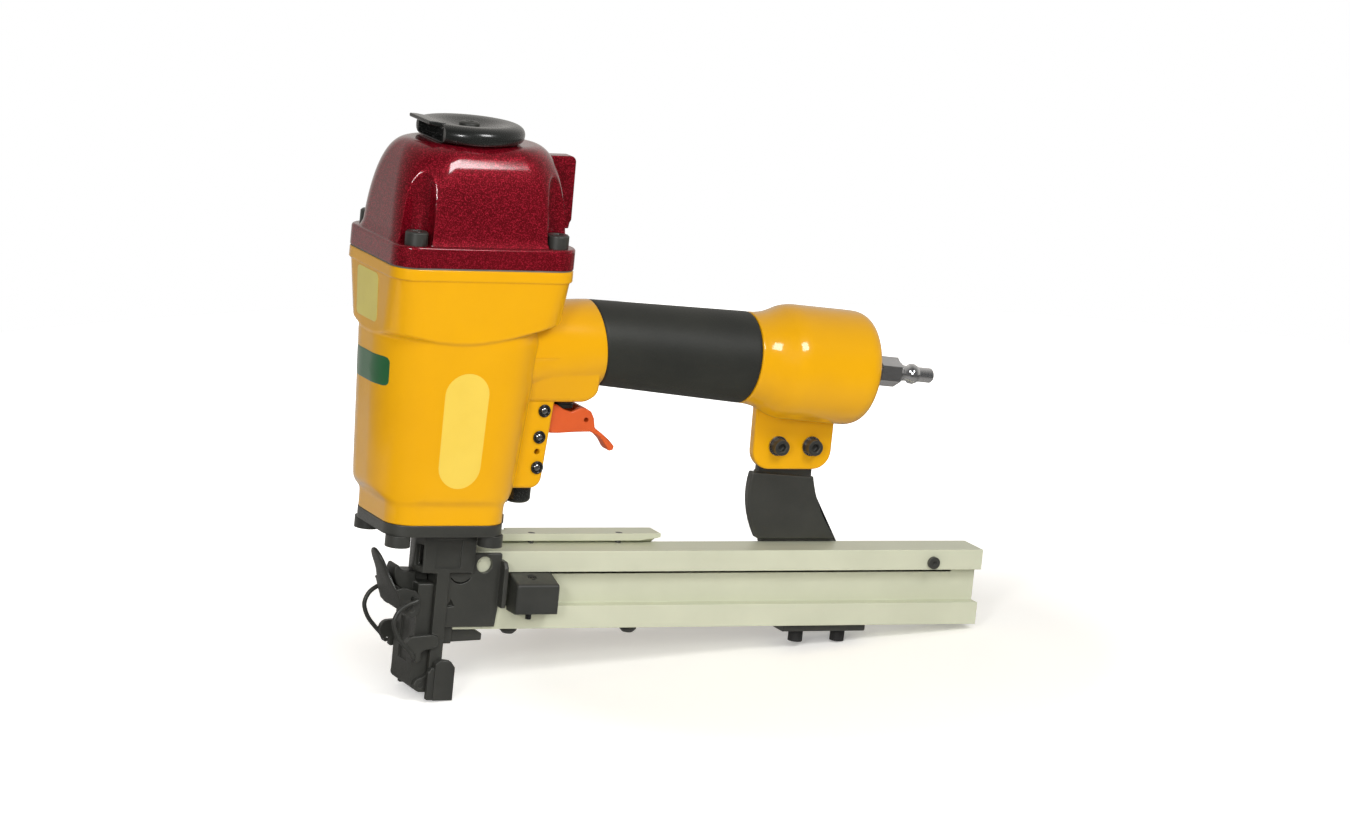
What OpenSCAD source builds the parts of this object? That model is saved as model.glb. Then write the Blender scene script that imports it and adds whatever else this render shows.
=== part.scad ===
// Flooring nailer: pneumatic, with a side-grooved magazine and a latched nose door.
// Millimetres. +X runs to the rear, +Y away from the viewer, +Z up the drive axis.
// The origin is the centre of the contact foot's lower face, just behind the drive axis.

/* [Body] */
// Height of the joint between body and cap
joint_z = 227.9; // [226:0.1:230]
// Length of the collar and cap flange
flange_l = 99.6; // [96:0.2:103]
// Width of the collar and cap flange
flange_w = 76; // [73:0.5:79]
// Corner radius of the collar and cap flange
flange_r = 12; // [10:0.5:14]
// Centre of the collar and cap flange along X
flange_x = 2.4; // [1.4:0.2:3.4]
// Length of the tapered body at its bottom
body_low_l = 80.5; // [78:0.5:83]
// Width of the tapered body at its bottom
body_low_w = 62; // [60:0.5:64]
// Length of the base flange
base_l = 65; // [62:0.5:68]
// Width of the base flange
base_w = 56; // [54:0.5:58]
// Half width of the valve block behind the body
block_half = 14; // [13.5:0.25:14.5]

/* [Cap] */
// Height of the cap's top
cap_top_z = 287.5; // [285:0.5:290]
// Thickness of the cap flange
cap_flange_t = 10.6; // [9.5:0.1:11.5]
// Radius of the deflector
deflector_r = 28.5; // [27.5:0.25:29.5]

/* [Drive] */
// Bore radius of the cylinder sleeve
sleeve_bore_r = 23; // [22.8:0.1:23.2]
// Wall of the cylinder sleeve
sleeve_wall = 3; // [2.8:0.1:3.2]
// Stroke of the piston
stroke = 80; // [78:0.5:80]
// Width of the driver blade
blade_w = 8; // [7.5:0.1:8.5]
// Thickness of the driver blade
blade_t = 2.2; // [2:0.05:2.4]

/* [Handle] */
// Downward slope of the handle
handle_slope = 4.4; // [4:0.1:4.8]
// Grip radius at its front
grip_front_r = 21.9; // [21.4:0.1:22.4]
// Grip radius at its rear
grip_rear_r = 24.1; // [23.6:0.1:24.6]
// Length of the grip along the handle
grip_l = 88; // [87:0.25:89]
// Thickness of the grip's rubber at its front
grip_t = 3.2; // [3:0.1:3.4]
// Radius of the rear bell
bell_r = 30.3; // [29.6:0.1:31]
// Radius of the air plug's tip
plug_tip_r = 3.95; // [3.9:0.01:4]

/* [Nose] */
// Half width of the nose
nose_half = 16; // [15.75:0.05:16.1]
// Half width of the front door
door_half = 13; // [12.8:0.05:13.1]
// Travel of the contact arm
arm_travel = 5; // [4.5:0.1:5.2]
// Diameter of the latch wire
wire_d = 2.2; // [2:0.05:2.3]

/* [Magazine] */
// Half width of the magazine
mag_half = 10.6; // [10.4:0.05:10.8]
// Height of the magazine's lower face
mag_low_z = 34.9; // [34.6:0.1:35.2]
// Height of the magazine's upper face
mag_top_z = 76.1; // [75.8:0.1:76.4]
// Length of the magazine
mag_l = 306.3; // [302:0.5:310]

/* [Hidden] */
$fn = 64;
gap = 0.05;
play = 0.3;
body_top_l = flange_l - 7;
body_top_w = flange_w - 7;
cap_screw_l = flange_l - 22.4;
cap_screw_w = flange_w - 15.4;
base_x = -1.8;
base_z = 93.5;
plate_t = 5.8;
plate_z = base_z - plate_t;
base_t = 10.5;
taper_z = 112;
collar_low_z = 184;
gasket_t = 0.8;
lip_h = 6;
body_top_z = joint_z - gasket_t;
handle_x = 79;
handle_z = 184.4;
slant = 16.2;
grip_gap = gap;
core_front_r = grip_front_r - grip_t;
core_rear_r = grip_rear_r - grip_t;
bell_front = grip_l + 0.4;
bell_end = 158.8;
end_bore_z = bell_end - 14.5;
end_cap_r = 19;
sleeve_r = sleeve_bore_r + sleeve_wall;
sleeve_low_z = 108;
chamber_r = 30.6;
sleeve_top_z = 222;
piston_r = sleeve_bore_r - gap;
piston_h = 14;
piston_top_z = 218;
piston_low_z = piston_top_z - piston_h;
bumper_top_z = piston_low_z - stroke - 1.5;
blade_low_z = stroke + 1.2;
cap_h = cap_top_z - joint_z;
cap_bore_r = 27.05;
cap_bore_top_z = joint_z + cap_h / 2 - 0.8;
post_r = 10;
post_low_z = cap_bore_top_z - 19.9;
valve_top_z = cap_bore_top_z - 11.9;
screw_r = 3;
shoulder_r = 4;
recess_z = 6.2;
head_r = 5.8;
head_h = 7;
cap_flange_z = joint_z + cap_flange_t;
fin_low_z = cap_flange_z + 6.5;
fin_top_z = cap_top_z - 6;
fin_rear_x = flange_x + flange_l / 2 + 7.8;
flute_r = 8;
flute_top_z = cap_top_z - 11.5;
bolt_r = 4;
bolt_head_r = 6.5;
bolt_head_h = 6;
bolt_x = base_l / 2 - 7;
bolt_y = base_w / 2 - 7;
pin_r = 2;
grommet_r = 3.4;
grommet_t = 1.2;
pivot = [50.2, 150.9];
pin_2 = [48.7, 137.1];
pin_3 = [49, 121.2];
trigger_half = 9;
slot_half = trigger_half + play;
valve_x = 67;
valve_r = 7;
valve_low_z = 155.6;
stem_r = 2.2;
stem_low_z = 147.4;
floor_z = 147;
rod_x = 36.3;
rod_r = 1.8;
arm_x = rod_x - 2.2;
collar_r = 4.6;
guide_top_z = 110;
guide_h = 9.5;
rod_top_z = guide_top_z + 14;
arm_top_z = guide_top_z - 16;
channel_half = blade_w / 2 + play;
channel_x = blade_t / 2 + play;
nose_low_z = arm_travel - 2;
nose_rear_x = 12;
step_x = 5.6;
foot_axis_x = step_x + 2.3;
tongue_z = 27.4;
upper_low_z = 66;
upper_rear_x = 19;
door_back_x = -channel_x - 0.1;
door_t = 8.4;
door_front_x = door_back_x - door_t;
door_pin = [-5.2, 7 + nose_low_z - 3];
knuckle_r = 3.6;
lever_pin = [-13.5, 47];
wire_top = [-13.2, 52.5];
wire_end = [-12.7, 22.9];
wire_y = 20.3;
wire_r = wire_d / 2;
stub_r = wire_r + 0.1;
lever_in = door_half + play;
lever_out = lever_in + 2;
ear_in = nose_half;
ear_out = nose_half + 2.8;
shoe_in = nose_half + 0.6;
shoe_out = shoe_in + 3.9;
side_in = mag_half;
side_out = side_in + 2.6;
side_rear_x = 35;
side_low_z = mag_low_z + 1.9;
side_top_z = mag_top_z - 0.5;
mag_front_x = nose_rear_x;
mag_rear_x = mag_front_x + mag_l;
groove_low_z = mag_low_z + 12.1;
groove_top_z = mag_top_z - 11.1;
lane_low_z = mag_low_z + 2.1;
lane_top_z = mag_top_z - 1.9;
mag_screw_x1 = 48;
mag_screw_x2 = 116.5;
mag_screw_r = 2.5;
rear_screw_at = [mag_rear_x - 30.1, mag_top_z - 7];
strip_screw_x1 = 60;
strip_screw_x2 = 110;
strip_screw_y = 8.2;
strip_screw_r = 1.5;
end_stop_x = mag_rear_x - 20.3;
web_y = -3.6;
slot_z = groove_top_z - 2.2;
lane_half = 2;
strip_t = 5.4;
strip_end_x = 133.4;
strip_gap = 1.4;
strip_head_r = strip_screw_r + 0.5;
pusher_front_x = 41;
pusher_l = 24;
stay_in = mag_half;
stay_t = 5;
stay_shelf_z = mag_top_z + 2.4;
lug_low_y = 2;
lug_high_y = 7.6;
lug_z = 129.8;
lug_x1 = 194.3;
lug_x2 = 214;
foot_z = 31;
foot_t = mag_low_z - foot_z;
foot_x1 = 216;
foot_x2 = 241;
foot_y = 0.5;

// Shared shapes

// The modules below measure X from the drive axis
module in_frame() {
  translate([-foot_axis_x, 0, 0])
    children();
}

module rounded(l, w, r) {
  square([l - 2 * r, w], center = true);
  square([l, w - 2 * r], center = true);
  for (i = [-1, 1])
    for (j = [-1, 1])
      translate([i * (l / 2 - r), j * (w / 2 - r)])
        circle(r);
}

module slab(z, l, w, r, x = 0) {
  translate([x, 0, z])
    linear_extrude(0.2)
      rounded(l, w, r, $fn = 56);
}

// Points of a curve from a to b, drawn towards c
function curve(a, c, b, steps = 8) = [
  for (i = [0:steps])
    let (t = i / steps)
      (1 - t) * (1 - t) * a + 2 * t * (1 - t) * c + t * t * b
];

module along_y(low, high) {
  translate([0, high, 0])
    rotate([90, 0, 0])
      linear_extrude(high - low)
        children();
}

module along_x(low, high) {
  translate([low, 0, 0])
    rotate([90, 0, 90])
      linear_extrude(high - low)
        children();
}

module rod_y(at, r, low, high) {
  translate([at[0], high, at[1]])
    rotate([90, 0, 0])
      cylinder(r = r, h = high - low);
}

module rod_z(x, y, r, low, high) {
  translate([x, y, low])
    cylinder(r = r, h = high - low);
}

module tube_z(x, y, r_out, r_in, low, high) {
  difference() {
    rod_z(x, y, r_out, low, high);
    rod_z(x, y, r_in, low - 1, high + 1);
  }
}

module on_handle() {
  translate([handle_x, 0, handle_z])
    rotate([0, 90 + handle_slope, 0])
      children();
}

// Half space behind the slanted front edge of the grip
module behind_slant(shift = 0) {
  translate([handle_x, 0, handle_z])
    rotate([0, -slant, 0])
      translate([shift, -60, -80])
        cube([260, 120, 160]);
}

module at_cap_screws() {
  for (i = [-1, 1])
    for (j = [-1, 1])
      translate([flange_x + i * cap_screw_l / 2, j * cap_screw_w / 2, 0])
        children();
}

module at_base_screws() {
  for (i = [-1, 1])
    for (j = [-1, 1])
      translate([base_x + i * bolt_x, j * bolt_y, 0])
        children();
}

// Body casting: collar, tapered barrel, valve block, neck, handle core, bell and stay lug

module body_collar() {
  intersection() {
    hull() {
      slab(collar_low_z, flange_l - 6, flange_w - 6, flange_r + 7, flange_x);
      slab(body_top_z - 1, flange_l - 1, flange_w - 1, flange_r, flange_x);
    }
    translate([-8, 0, 183])
      cylinder(r1 = flange_w / 2 - 7 / tan(20), r2 = flange_w / 2 + 40 / tan(20), h = 47);
  }
  translate([flange_x, 0, body_top_z - lip_h])
    linear_extrude(lip_h)
      rounded(flange_l, flange_w, flange_r);
}

module body_barrel() {
  hull() {
    slab(base_z + base_t, base_l + 2, base_w + 2, 13, base_x);
    slab(taper_z - 4, body_low_l - 5, body_low_w - 2, 17, base_x);
    slab(taper_z + 3, body_low_l, body_low_w, 18, base_x);
    slab(205, body_top_l, body_top_w, 23);
  }
  translate([base_x, 0, base_z])
    linear_extrude(base_t + 1)
      rounded(base_l, base_w, 12);
}

module valve_block() {
  along_y(-block_half, block_half)
    union() {
      polygon([[20, 116], [52.6, 116], [56, 157], [56, 165], [20, 165]]);
      translate([20, 110])
        square([26.4, 10]);
      translate([46.4, 116.2])
        circle(6.2);
    }
}

module neck() {
  difference() {
    union() {
      hull() {
        translate([26, 0, 182])
          rotate([0, 90, 0])
            linear_extrude(0.2)
              rounded(47, 48, 16, $fn = 40);
        on_handle()
          translate([0, 0, -6])
            cylinder(r = grip_front_r, h = 12, $fn = 64);
      }
      along_y(-15.5, 15.5)
        polygon([[40, 155.4], [71.5, 155.4], [74, 157.4], [77, 162], [79, 176], [40, 176]]);
    }
    behind_slant();
  }
}

module handle_core() {
  on_handle() {
    translate([0, 0, -10])
      cylinder(r1 = core_front_r - 0.2, r2 = core_rear_r, h = grip_l + 11);
    rotate_extrude($fn = 96)
      polygon([
        [0, bell_front], [grip_rear_r - 0.2, bell_front], [grip_rear_r + 0.1, 93], [25.4, 99],
        [27.4, 104], [29.6, 109], [bell_r, 113], [bell_r, bell_end - 10.8], [bell_r - 0.7, bell_end - 7.3],
        [bell_r - 2.6, bell_end - 3.8], [bell_r - 5.5, bell_end - 1.3], [bell_r - 9, bell_end], [0, bell_end]
      ]);
  }
}

module stay_lug() {
  along_y(lug_low_y, lug_high_y)
    union() {
      translate([183, 127])
        square([43.5, 28]);
      translate([193, 117])
        square([23.5, 12]);
      translate([193, 127])
        circle(10);
      translate([216.5, 127])
        circle(10);
    }
}

module body() {
  color([0.94, 0.68, 0.05]) in_frame()
    difference() {
      union() {
        body_collar();
        body_barrel();
        valve_block();
        neck();
        handle_core();
        stay_lug();
      }
      // sleeve seat, air chamber and blade passage
      rod_z(0, 0, sleeve_r + gap, sleeve_low_z, 130);
      rod_z(0, 0, 27.6, 129, 180);
      rod_z(0, 0, chamber_r, 176, joint_z + 1);
      rod_z(0, 0, 8, base_z - 1, sleeve_low_z + 1);
      // air passage through the handle
      on_handle() {
        translate([0, 0, -62])
          cylinder(r = 14, h = 180);
        translate([0, 0, 112])
          cylinder(r = bell_r - 4.6, h = end_bore_z - 110);
        translate([0, 0, end_bore_z])
          cylinder(r = end_cap_r + gap, h = 20);
      }
      // trigger slot, valve seat and arm bore
      translate([40.5, -slot_half, 131.5])
        cube([51, 2 * slot_half, 29]);
      rod_z(valve_x, 0, valve_r + gap, 150, 190);
      rod_z(rod_x, 0, 5, guide_top_z - guide_h - 1, rod_top_z + 3);
      rod_z(rod_x, 0, rod_r + gap, rod_top_z + 2, rod_top_z + 9);
      // cross pins
      rod_y(pivot, pin_r + gap, -30, 30);
      rod_y(pin_2, pin_r + gap, -30, 30);
      rod_y(pin_3, pin_r + gap, -30, 30);
      rod_y([48.4, 129.5], 1.1, -30, 30);
      // cap screws, base screws and lug screws
      at_cap_screws()
        rod_z(0, 0, screw_r + gap, 205, joint_z + 1);
      at_base_screws()
        rod_z(0, 0, bolt_r + gap, base_z - 1, base_z + 11);
      rod_y([lug_x1, lug_z], 2.5 + gap, 0, 20);
      rod_y([lug_x2, lug_z], 2.5 + gap, 0, 20);
    }
}

// Cap end: gasket, cap, screws and deflector

module gasket() {
  color([0.45, 0.45, 0.43]) in_frame()
    difference() {
      translate([flange_x, 0, body_top_z])
        linear_extrude(gasket_t)
          rounded(flange_l - 0.8, flange_w - 0.8, flange_r);
      rod_z(0, 0, chamber_r, joint_z - 3, joint_z + 3);
      at_cap_screws()
        rod_z(0, 0, screw_r + gap, joint_z - 3, joint_z + 3);
    }
}

module cap() {
  color([0.42, 0.08, 0.14]) in_frame()
    difference() {
      union() {
        translate([flange_x, 0, joint_z])
          linear_extrude(cap_flange_t)
            rounded(flange_l, flange_w, flange_r);
        hull() {
          slab(cap_flange_z - 1, flange_l - 5, flange_w - 6, 14, flange_x);
          slab(cap_top_z - 17, flange_l - 10, flange_w - 11, 17, flange_x);
          slab(cap_top_z - 9, flange_l - 14.5, flange_w - 16, 19, flange_x);
          slab(cap_top_z - 4, flange_l - 22, flange_w - 24, 20, flange_x);
          slab(cap_top_z - 0.2, flange_l - 36, flange_w - 36, 19, flange_x);
        }
        along_y(-4, 4)
          polygon([
            [fin_rear_x - 30, fin_low_z], [fin_rear_x - 0.5, fin_low_z], [fin_rear_x, fin_low_z + 5],
            [fin_rear_x - 0.5, fin_top_z - 2.5], [fin_rear_x - 2, fin_top_z], [fin_rear_x - 30, fin_top_z]
          ]);
      }
      at_cap_screws() {
        rod_z(0, 0, flute_r, cap_flange_z, flute_top_z);
        translate([0, 0, flute_top_z])
          sphere(r = flute_r);
        rod_z(0, 0, screw_r + gap, joint_z - 1, cap_flange_z + 1);
      }
      difference() {
        rod_z(0, 0, cap_bore_r, joint_z - 1, cap_bore_top_z);
        rod_z(0, 0, post_r, post_low_z, cap_bore_top_z + 1);
      }
      rod_z(0, 0, 7.5, post_low_z - 1, cap_top_z - 6);
      // exhaust ports around the deflector screw
      for (a = [0:60:300])
        rotate([0, 0, a])
          rod_z(6, 0, 1.4, cap_top_z - 8, cap_top_z + 1);
      rod_z(0, 0, screw_r + gap, cap_top_z - 8, cap_top_z + 1);
    }
}

module cap_screw() {
  difference() {
    union() {
      rod_z(0, 0, screw_r, joint_z - 20, cap_flange_z + 0.5);
      rod_z(0, 0, head_r, cap_flange_z, cap_flange_z + head_h - 0.8);
      translate([0, 0, cap_flange_z + head_h - 0.8])
        cylinder(r1 = head_r, r2 = head_r - 0.8, h = 0.8);
    }
    translate([0, 0, cap_flange_z + head_h - 4.5])
      cylinder(r = 2.9, h = 5, $fn = 6);
  }
}

module cap_screws() {
  color([0.17, 0.18, 0.15]) in_frame()
    at_cap_screws()
      cap_screw();
}

module deflector() {
  z = cap_top_z + play;
  color([0.13, 0.13, 0.13]) in_frame()
    difference() {
      union() {
        difference() {
          translate([0, 0, z])
            rotate_extrude($fn = 96)
              polygon([
                [0, 0], [deflector_r - 4, 0], [deflector_r - 1.6, 0.7], [deflector_r - 0.4, 2.2],
                [deflector_r, 4], [deflector_r - 0.4, 5.9], [deflector_r - 1.8, 7.6],
                [deflector_r - 4, 8.8], [deflector_r - 7, 9.4], [deflector_r - 10, 9.1],
                [deflector_r - 13, 8.3], [9, 7.6], [0, 7.6]
              ]);
          translate([-deflector_r - 20, -40, z - 1])
            cube([27.7, 80, 20]);
        }
        translate([-deflector_r + 2.5, -14, z + 8])
          cube([14, 28, 2.7]);
      }
      translate([0, 0, z - 1])
        cylinder(r = deflector_r - 10, h = 5.4);
      translate([-deflector_r - 6, -11.5, z + 1])
        cube([24.5, 23, 5.2]);
      translate([0, 0, z + recess_z])
        cylinder(r = 6.5, h = 9);
      rod_z(0, 0, shoulder_r + gap, z - 1, z + 14);
    }
}

module deflector_screw() {
  z = cap_top_z + play + recess_z;
  color([0.3, 0.3, 0.3]) in_frame()
    difference() {
      union() {
        rod_z(0, 0, screw_r, cap_top_z - 6.5, z + 1);
        rod_z(0, 0, shoulder_r, cap_top_z, z + 1);
        rod_z(0, 0, 5.2, z + 0.1, z + 2.2);
        translate([0, 0, z + 2.2])
          cylinder(r1 = 5.2, r2 = 4.2, h = 0.8);
      }
      translate([0, 0, z + 1.2])
        cylinder(r = 2.3, h = 5, $fn = 6);
    }
}

// Drive: sleeve, bumper, piston, blade and head valve

module sleeve() {
  color([0.7, 0.72, 0.74]) in_frame()
    union() {
      tube_z(0, 0, sleeve_r, sleeve_bore_r, sleeve_low_z, sleeve_top_z);
      tube_z(0, 0, 29, sleeve_r - 0.5, 206, 210);
    }
}

module bumper() {
  color([0.1, 0.1, 0.1]) in_frame()
    tube_z(0, 0, sleeve_bore_r - 0.1, 7.5, sleeve_low_z, bumper_top_z);
}

module piston() {
  color([0.75, 0.76, 0.78]) in_frame()
    difference() {
      rod_z(0, 0, piston_r, piston_low_z, piston_top_z);
      tube_z(0, 0, piston_r + 1, piston_r - 2.5, piston_low_z + 5, piston_low_z + 8.5);
      translate([-blade_t / 2 - gap, -blade_w / 2 - gap, piston_low_z - 1])
        cube([blade_t + 2 * gap, blade_w + 2 * gap, 9]);
    }
}

module piston_ring() {
  color([0.08, 0.08, 0.08]) in_frame()
    tube_z(0, 0, piston_r - 0.02, piston_r - 2.45, piston_low_z + 5.1, piston_low_z + 8.4);
}

module driver_blade() {
  color([0.55, 0.56, 0.58]) in_frame()
    translate([-blade_t / 2, -blade_w / 2, blade_low_z])
      cube([blade_t, blade_w, piston_low_z + 7.9 - blade_low_z]);
}

module head_valve() {
  color([0.2, 0.2, 0.22]) in_frame()
    difference() {
      rod_z(0, 0, cap_bore_r - gap, sleeve_top_z + 0.1, valve_top_z);
      rod_z(0, 0, post_r + gap, sleeve_top_z - 1, valve_top_z + 1);
    }
}

module head_valve_spring() {
  color([0.6, 0.6, 0.62]) in_frame()
    tube_z(0, 0, 17, 14, valve_top_z + 0.1, cap_bore_top_z - 0.1);
}

// Handle: grip, end cap and air plug

module grip() {
  color([0.12, 0.12, 0.12]) in_frame()
    difference() {
      intersection() {
        on_handle()
          translate([0, 0, -12])
            cylinder(
              r1 = grip_front_r - 12 * (grip_rear_r - grip_front_r) / grip_l,
              r2 = grip_rear_r,
              h = grip_l + 12
            );
        behind_slant(0.2);
      }
      on_handle()
        translate([0, 0, -10])
          cylinder(
            r1 = core_front_r - 0.2 + grip_gap,
            r2 = core_rear_r + grip_gap,
            h = grip_l + 11
          );
    }
}

module end_cap() {
  color([0.15, 0.15, 0.15]) in_frame()
    on_handle()
      difference() {
        union() {
          translate([0, 0, end_bore_z])
            cylinder(r = end_cap_r, h = bell_end - end_bore_z + 0.6);
          translate([0, 0, bell_end + 0.6])
            cylinder(r1 = end_cap_r - 2, r2 = 12, h = 1.2);
          translate([0, 0, bell_end + 1])
            cylinder(r = 10, h = 1.8);
        }
        translate([0, 0, end_bore_z - 1])
          cylinder(r = 6.6 + gap, h = 30);
      }
}

module air_plug() {
  color([0.8, 0.8, 0.82]) in_frame()
    on_handle()
      difference() {
        union() {
          translate([0, 0, bell_end - 6])
            cylinder(r = 6.6, h = 16);
          translate([0, 0, bell_end + 9.7])
            cylinder(r = 8.1, h = 11.9, $fn = 6);
          translate([0, 0, bell_end])
            rotate_extrude()
              polygon([
                [0, 15], [5.6, 15], [5.6, 23.4], [4.4, 24.6], [4.1, 26.6], [4.1, 28.2], [5.3, 29.8],
                [5.4, 31.8], [4.6, 33.6], [plug_tip_r, 34.4], [plug_tip_r, 42.2], [plug_tip_r - 0.7, 43], [0, 43]
              ]);
        }
        translate([0, 0, bell_end - 7])
          cylinder(r = 2.4, h = 60);
      }
}

// Trigger group

module trigger() {
  color([0.91, 0.36, 0.12]) in_frame()
    difference() {
      along_y(-trigger_half, trigger_half)
        polygon([
          [44.5, 152.5], [45.5, 147.5], [52, 143], [57, 138], [62, 138], [72, 138.6], [79.9, 138.8],
          [84.6, 136.7], [87.4, 133.9], [89.6, 130.6], [91.4, 129], [93.4, 129.4], [93.9, 131.4], [90.6, 135],
          [86.4, 138.2], [82.4, 140.9], [81.4, 146], [79.6, 149.4], [76, 151.4], [73, 151.6], [70.5, 150.4],
          [68, 149.3], [64, 150.6], [60, 152.8], [52, 155.4], [47, 155.2]
        ]);
      translate([58, -trigger_half + 2.6, floor_z])
        cube([16.4, 2 * trigger_half - 5.2, 12]);
      // the tail is only on the near side
      translate([82.6, -1, 125])
        cube([20, 20, 14.5]);
      rod_y(pivot, pin_r + gap, -30, 30);
      rod_y([76.8, 145.2], 1.3, -30, 30);
    }
}

module block_pins() {
  color([0.66, 0.67, 0.66]) in_frame() {
    rod_y(pivot, pin_r, -block_half - grommet_t - 0.2, block_half + grommet_t + 0.2);
    rod_y(pin_2, pin_r, -block_half - grommet_t - 0.2, block_half + grommet_t + 0.2);
    rod_y(pin_3, pin_r, -block_half - grommet_t - 0.2, block_half + grommet_t + 0.2);
  }
}

module grommet(at, low) {
  difference() {
    rod_y(at, grommet_r, low, low + grommet_t);
    rod_y(at, pin_r + gap, low - 1, low + grommet_t + 1);
  }
}

module pin_grommets() {
  color([0.1, 0.1, 0.1]) in_frame()
    for (at = [pivot, pin_2, pin_3]) {
      grommet(at, -block_half - grommet_t);
      grommet(at, block_half);
    }
}

module valve_body() {
  color([0.1, 0.1, 0.1]) in_frame()
    difference() {
      union() {
        rod_z(valve_x, 0, valve_r, valve_low_z, 184);
        for (k = [0:2])
          rod_z(valve_x, 0, valve_r + 1.2, valve_low_z + k * 1.7, valve_low_z + k * 1.7 + 0.9);
      }
      rod_z(valve_x, 0, stem_r + gap, valve_low_z - 1, 166);
      rod_z(valve_x, 0, 5, 165, 181);
    }
}

module valve_stem() {
  color([0.7, 0.7, 0.68]) in_frame() {
    rod_z(valve_x, 0, 1.2, stem_low_z, 150);
    rod_z(valve_x, 0, stem_r, 149.5, 167);
    rod_z(valve_x, 0, 4.6, 166, 169);
  }
}

module stem_spring() {
  color([0.6, 0.6, 0.62]) in_frame()
    tube_z(valve_x, 0, 4.4, 3.4, 169.1, 180.9);
}

// Contact arm group

module arm_guide() {
  color([0.08, 0.08, 0.08]) in_frame()
    difference() {
      union() {
        translate([44.7, 0, guide_top_z - guide_h])
          linear_extrude(guide_h - 0.1)
            rounded(12.6, 17, 4);
        rod_z(rod_x, 0, 4.2, guide_top_z - guide_h, guide_top_z);
        rod_z(rod_x, 0, 4.9, guide_top_z - 1, guide_top_z + 0.9);
      }
      rod_z(rod_x, 0, rod_r + gap, guide_top_z - guide_h - 1, guide_top_z + 2);
    }
}

module shoe() {
  along_y(shoe_in, shoe_out)
    polygon([
      [0.4, 0], [11.4, 0], [11.4, 17.4], [8.8, 20.6], [3.4, 21.4], [0.4, 19.4]
    ]);
  along_y(shoe_in, shoe_out - 1)
    polygon([[-3, 0], [1, 0], [1, 17], [-1, 17], [-3, 14.4]]);
}

module contact_arm() {
  color([0.2, 0.2, 0.19]) in_frame()
    union() {
      shoe();
      mirror([0, 1, 0])
        shoe();
      // bridge behind the nose
      translate([foot_axis_x - 1.5, -shoe_out + 0.6, 0])
        cube([3, 2 * shoe_out - 1.2, 12]);
      // far strip up to the guide
      along_y(shoe_in, shoe_in + 2)
        polygon([
          [5, 8], [11, 8], [11, 58], [13, 60], [45, 60], [45, arm_top_z], [arm_x, arm_top_z],
          [arm_x, 66], [9, 66], [5, 62]
        ]);
      translate([arm_x, -3, arm_top_z - 5])
        cube([4.4, shoe_in + 4, 5]);
      rod_z(rod_x, 0, rod_r, arm_top_z - 4, rod_top_z);
      rod_z(rod_x, 0, collar_r, guide_top_z + 1, guide_top_z + 3);
    }
}

module arm_spring() {
  color([0.6, 0.6, 0.62]) in_frame()
    tube_z(rod_x, 0, 4.5, 3, guide_top_z + 3.1, rod_top_z + 2.9);
}

// Nose group

module bottom_plate() {
  color([0.2, 0.2, 0.2]) in_frame()
    difference() {
      translate([base_x, 0, plate_z])
        linear_extrude(plate_t)
          rounded(base_l, base_w, 12);
      translate([-channel_x, -channel_half, plate_z - 1])
        cube([2 * channel_x, 2 * channel_half, plate_t + 2]);
      at_base_screws()
        rod_z(0, 0, bolt_r + gap, plate_z - 1, base_z + 1);
    }
}

module base_screw() {
  difference() {
    union() {
      rod_z(0, 0, bolt_r, plate_z - 0.5, base_z + 10);
      rod_z(0, 0, bolt_head_r, plate_z - bolt_head_h, plate_z);
    }
    translate([0, 0, plate_z - bolt_head_h - 1])
      cylinder(r = 3.4, h = 5, $fn = 6);
  }
}

module base_screws() {
  color([0.16, 0.16, 0.16]) in_frame()
    at_base_screws()
      base_screw();
}

module ear() {
  along_y(ear_in, ear_out)
    difference() {
      union() {
        translate([-12.2, 28.8])
          circle(4.6);
        // finger behind the wire
        polygon([[-10.9, 27], [-7.5, 27], [-7.5, 21], [-8.5, 19.8], [-10.2, 19.8], [-10.9, 20.6]]);
        polygon([
          [-12.2, 24.2], [-8.5, 24.2], [-5.5, 26.2], [-1, 26.8], [1.6, 28.2], [1.6, 33], [-1, 34.2], [-12.2, 33.4]
        ]);
      }
      translate(wire_end)
        circle(stub_r + play);
    }
}

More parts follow.
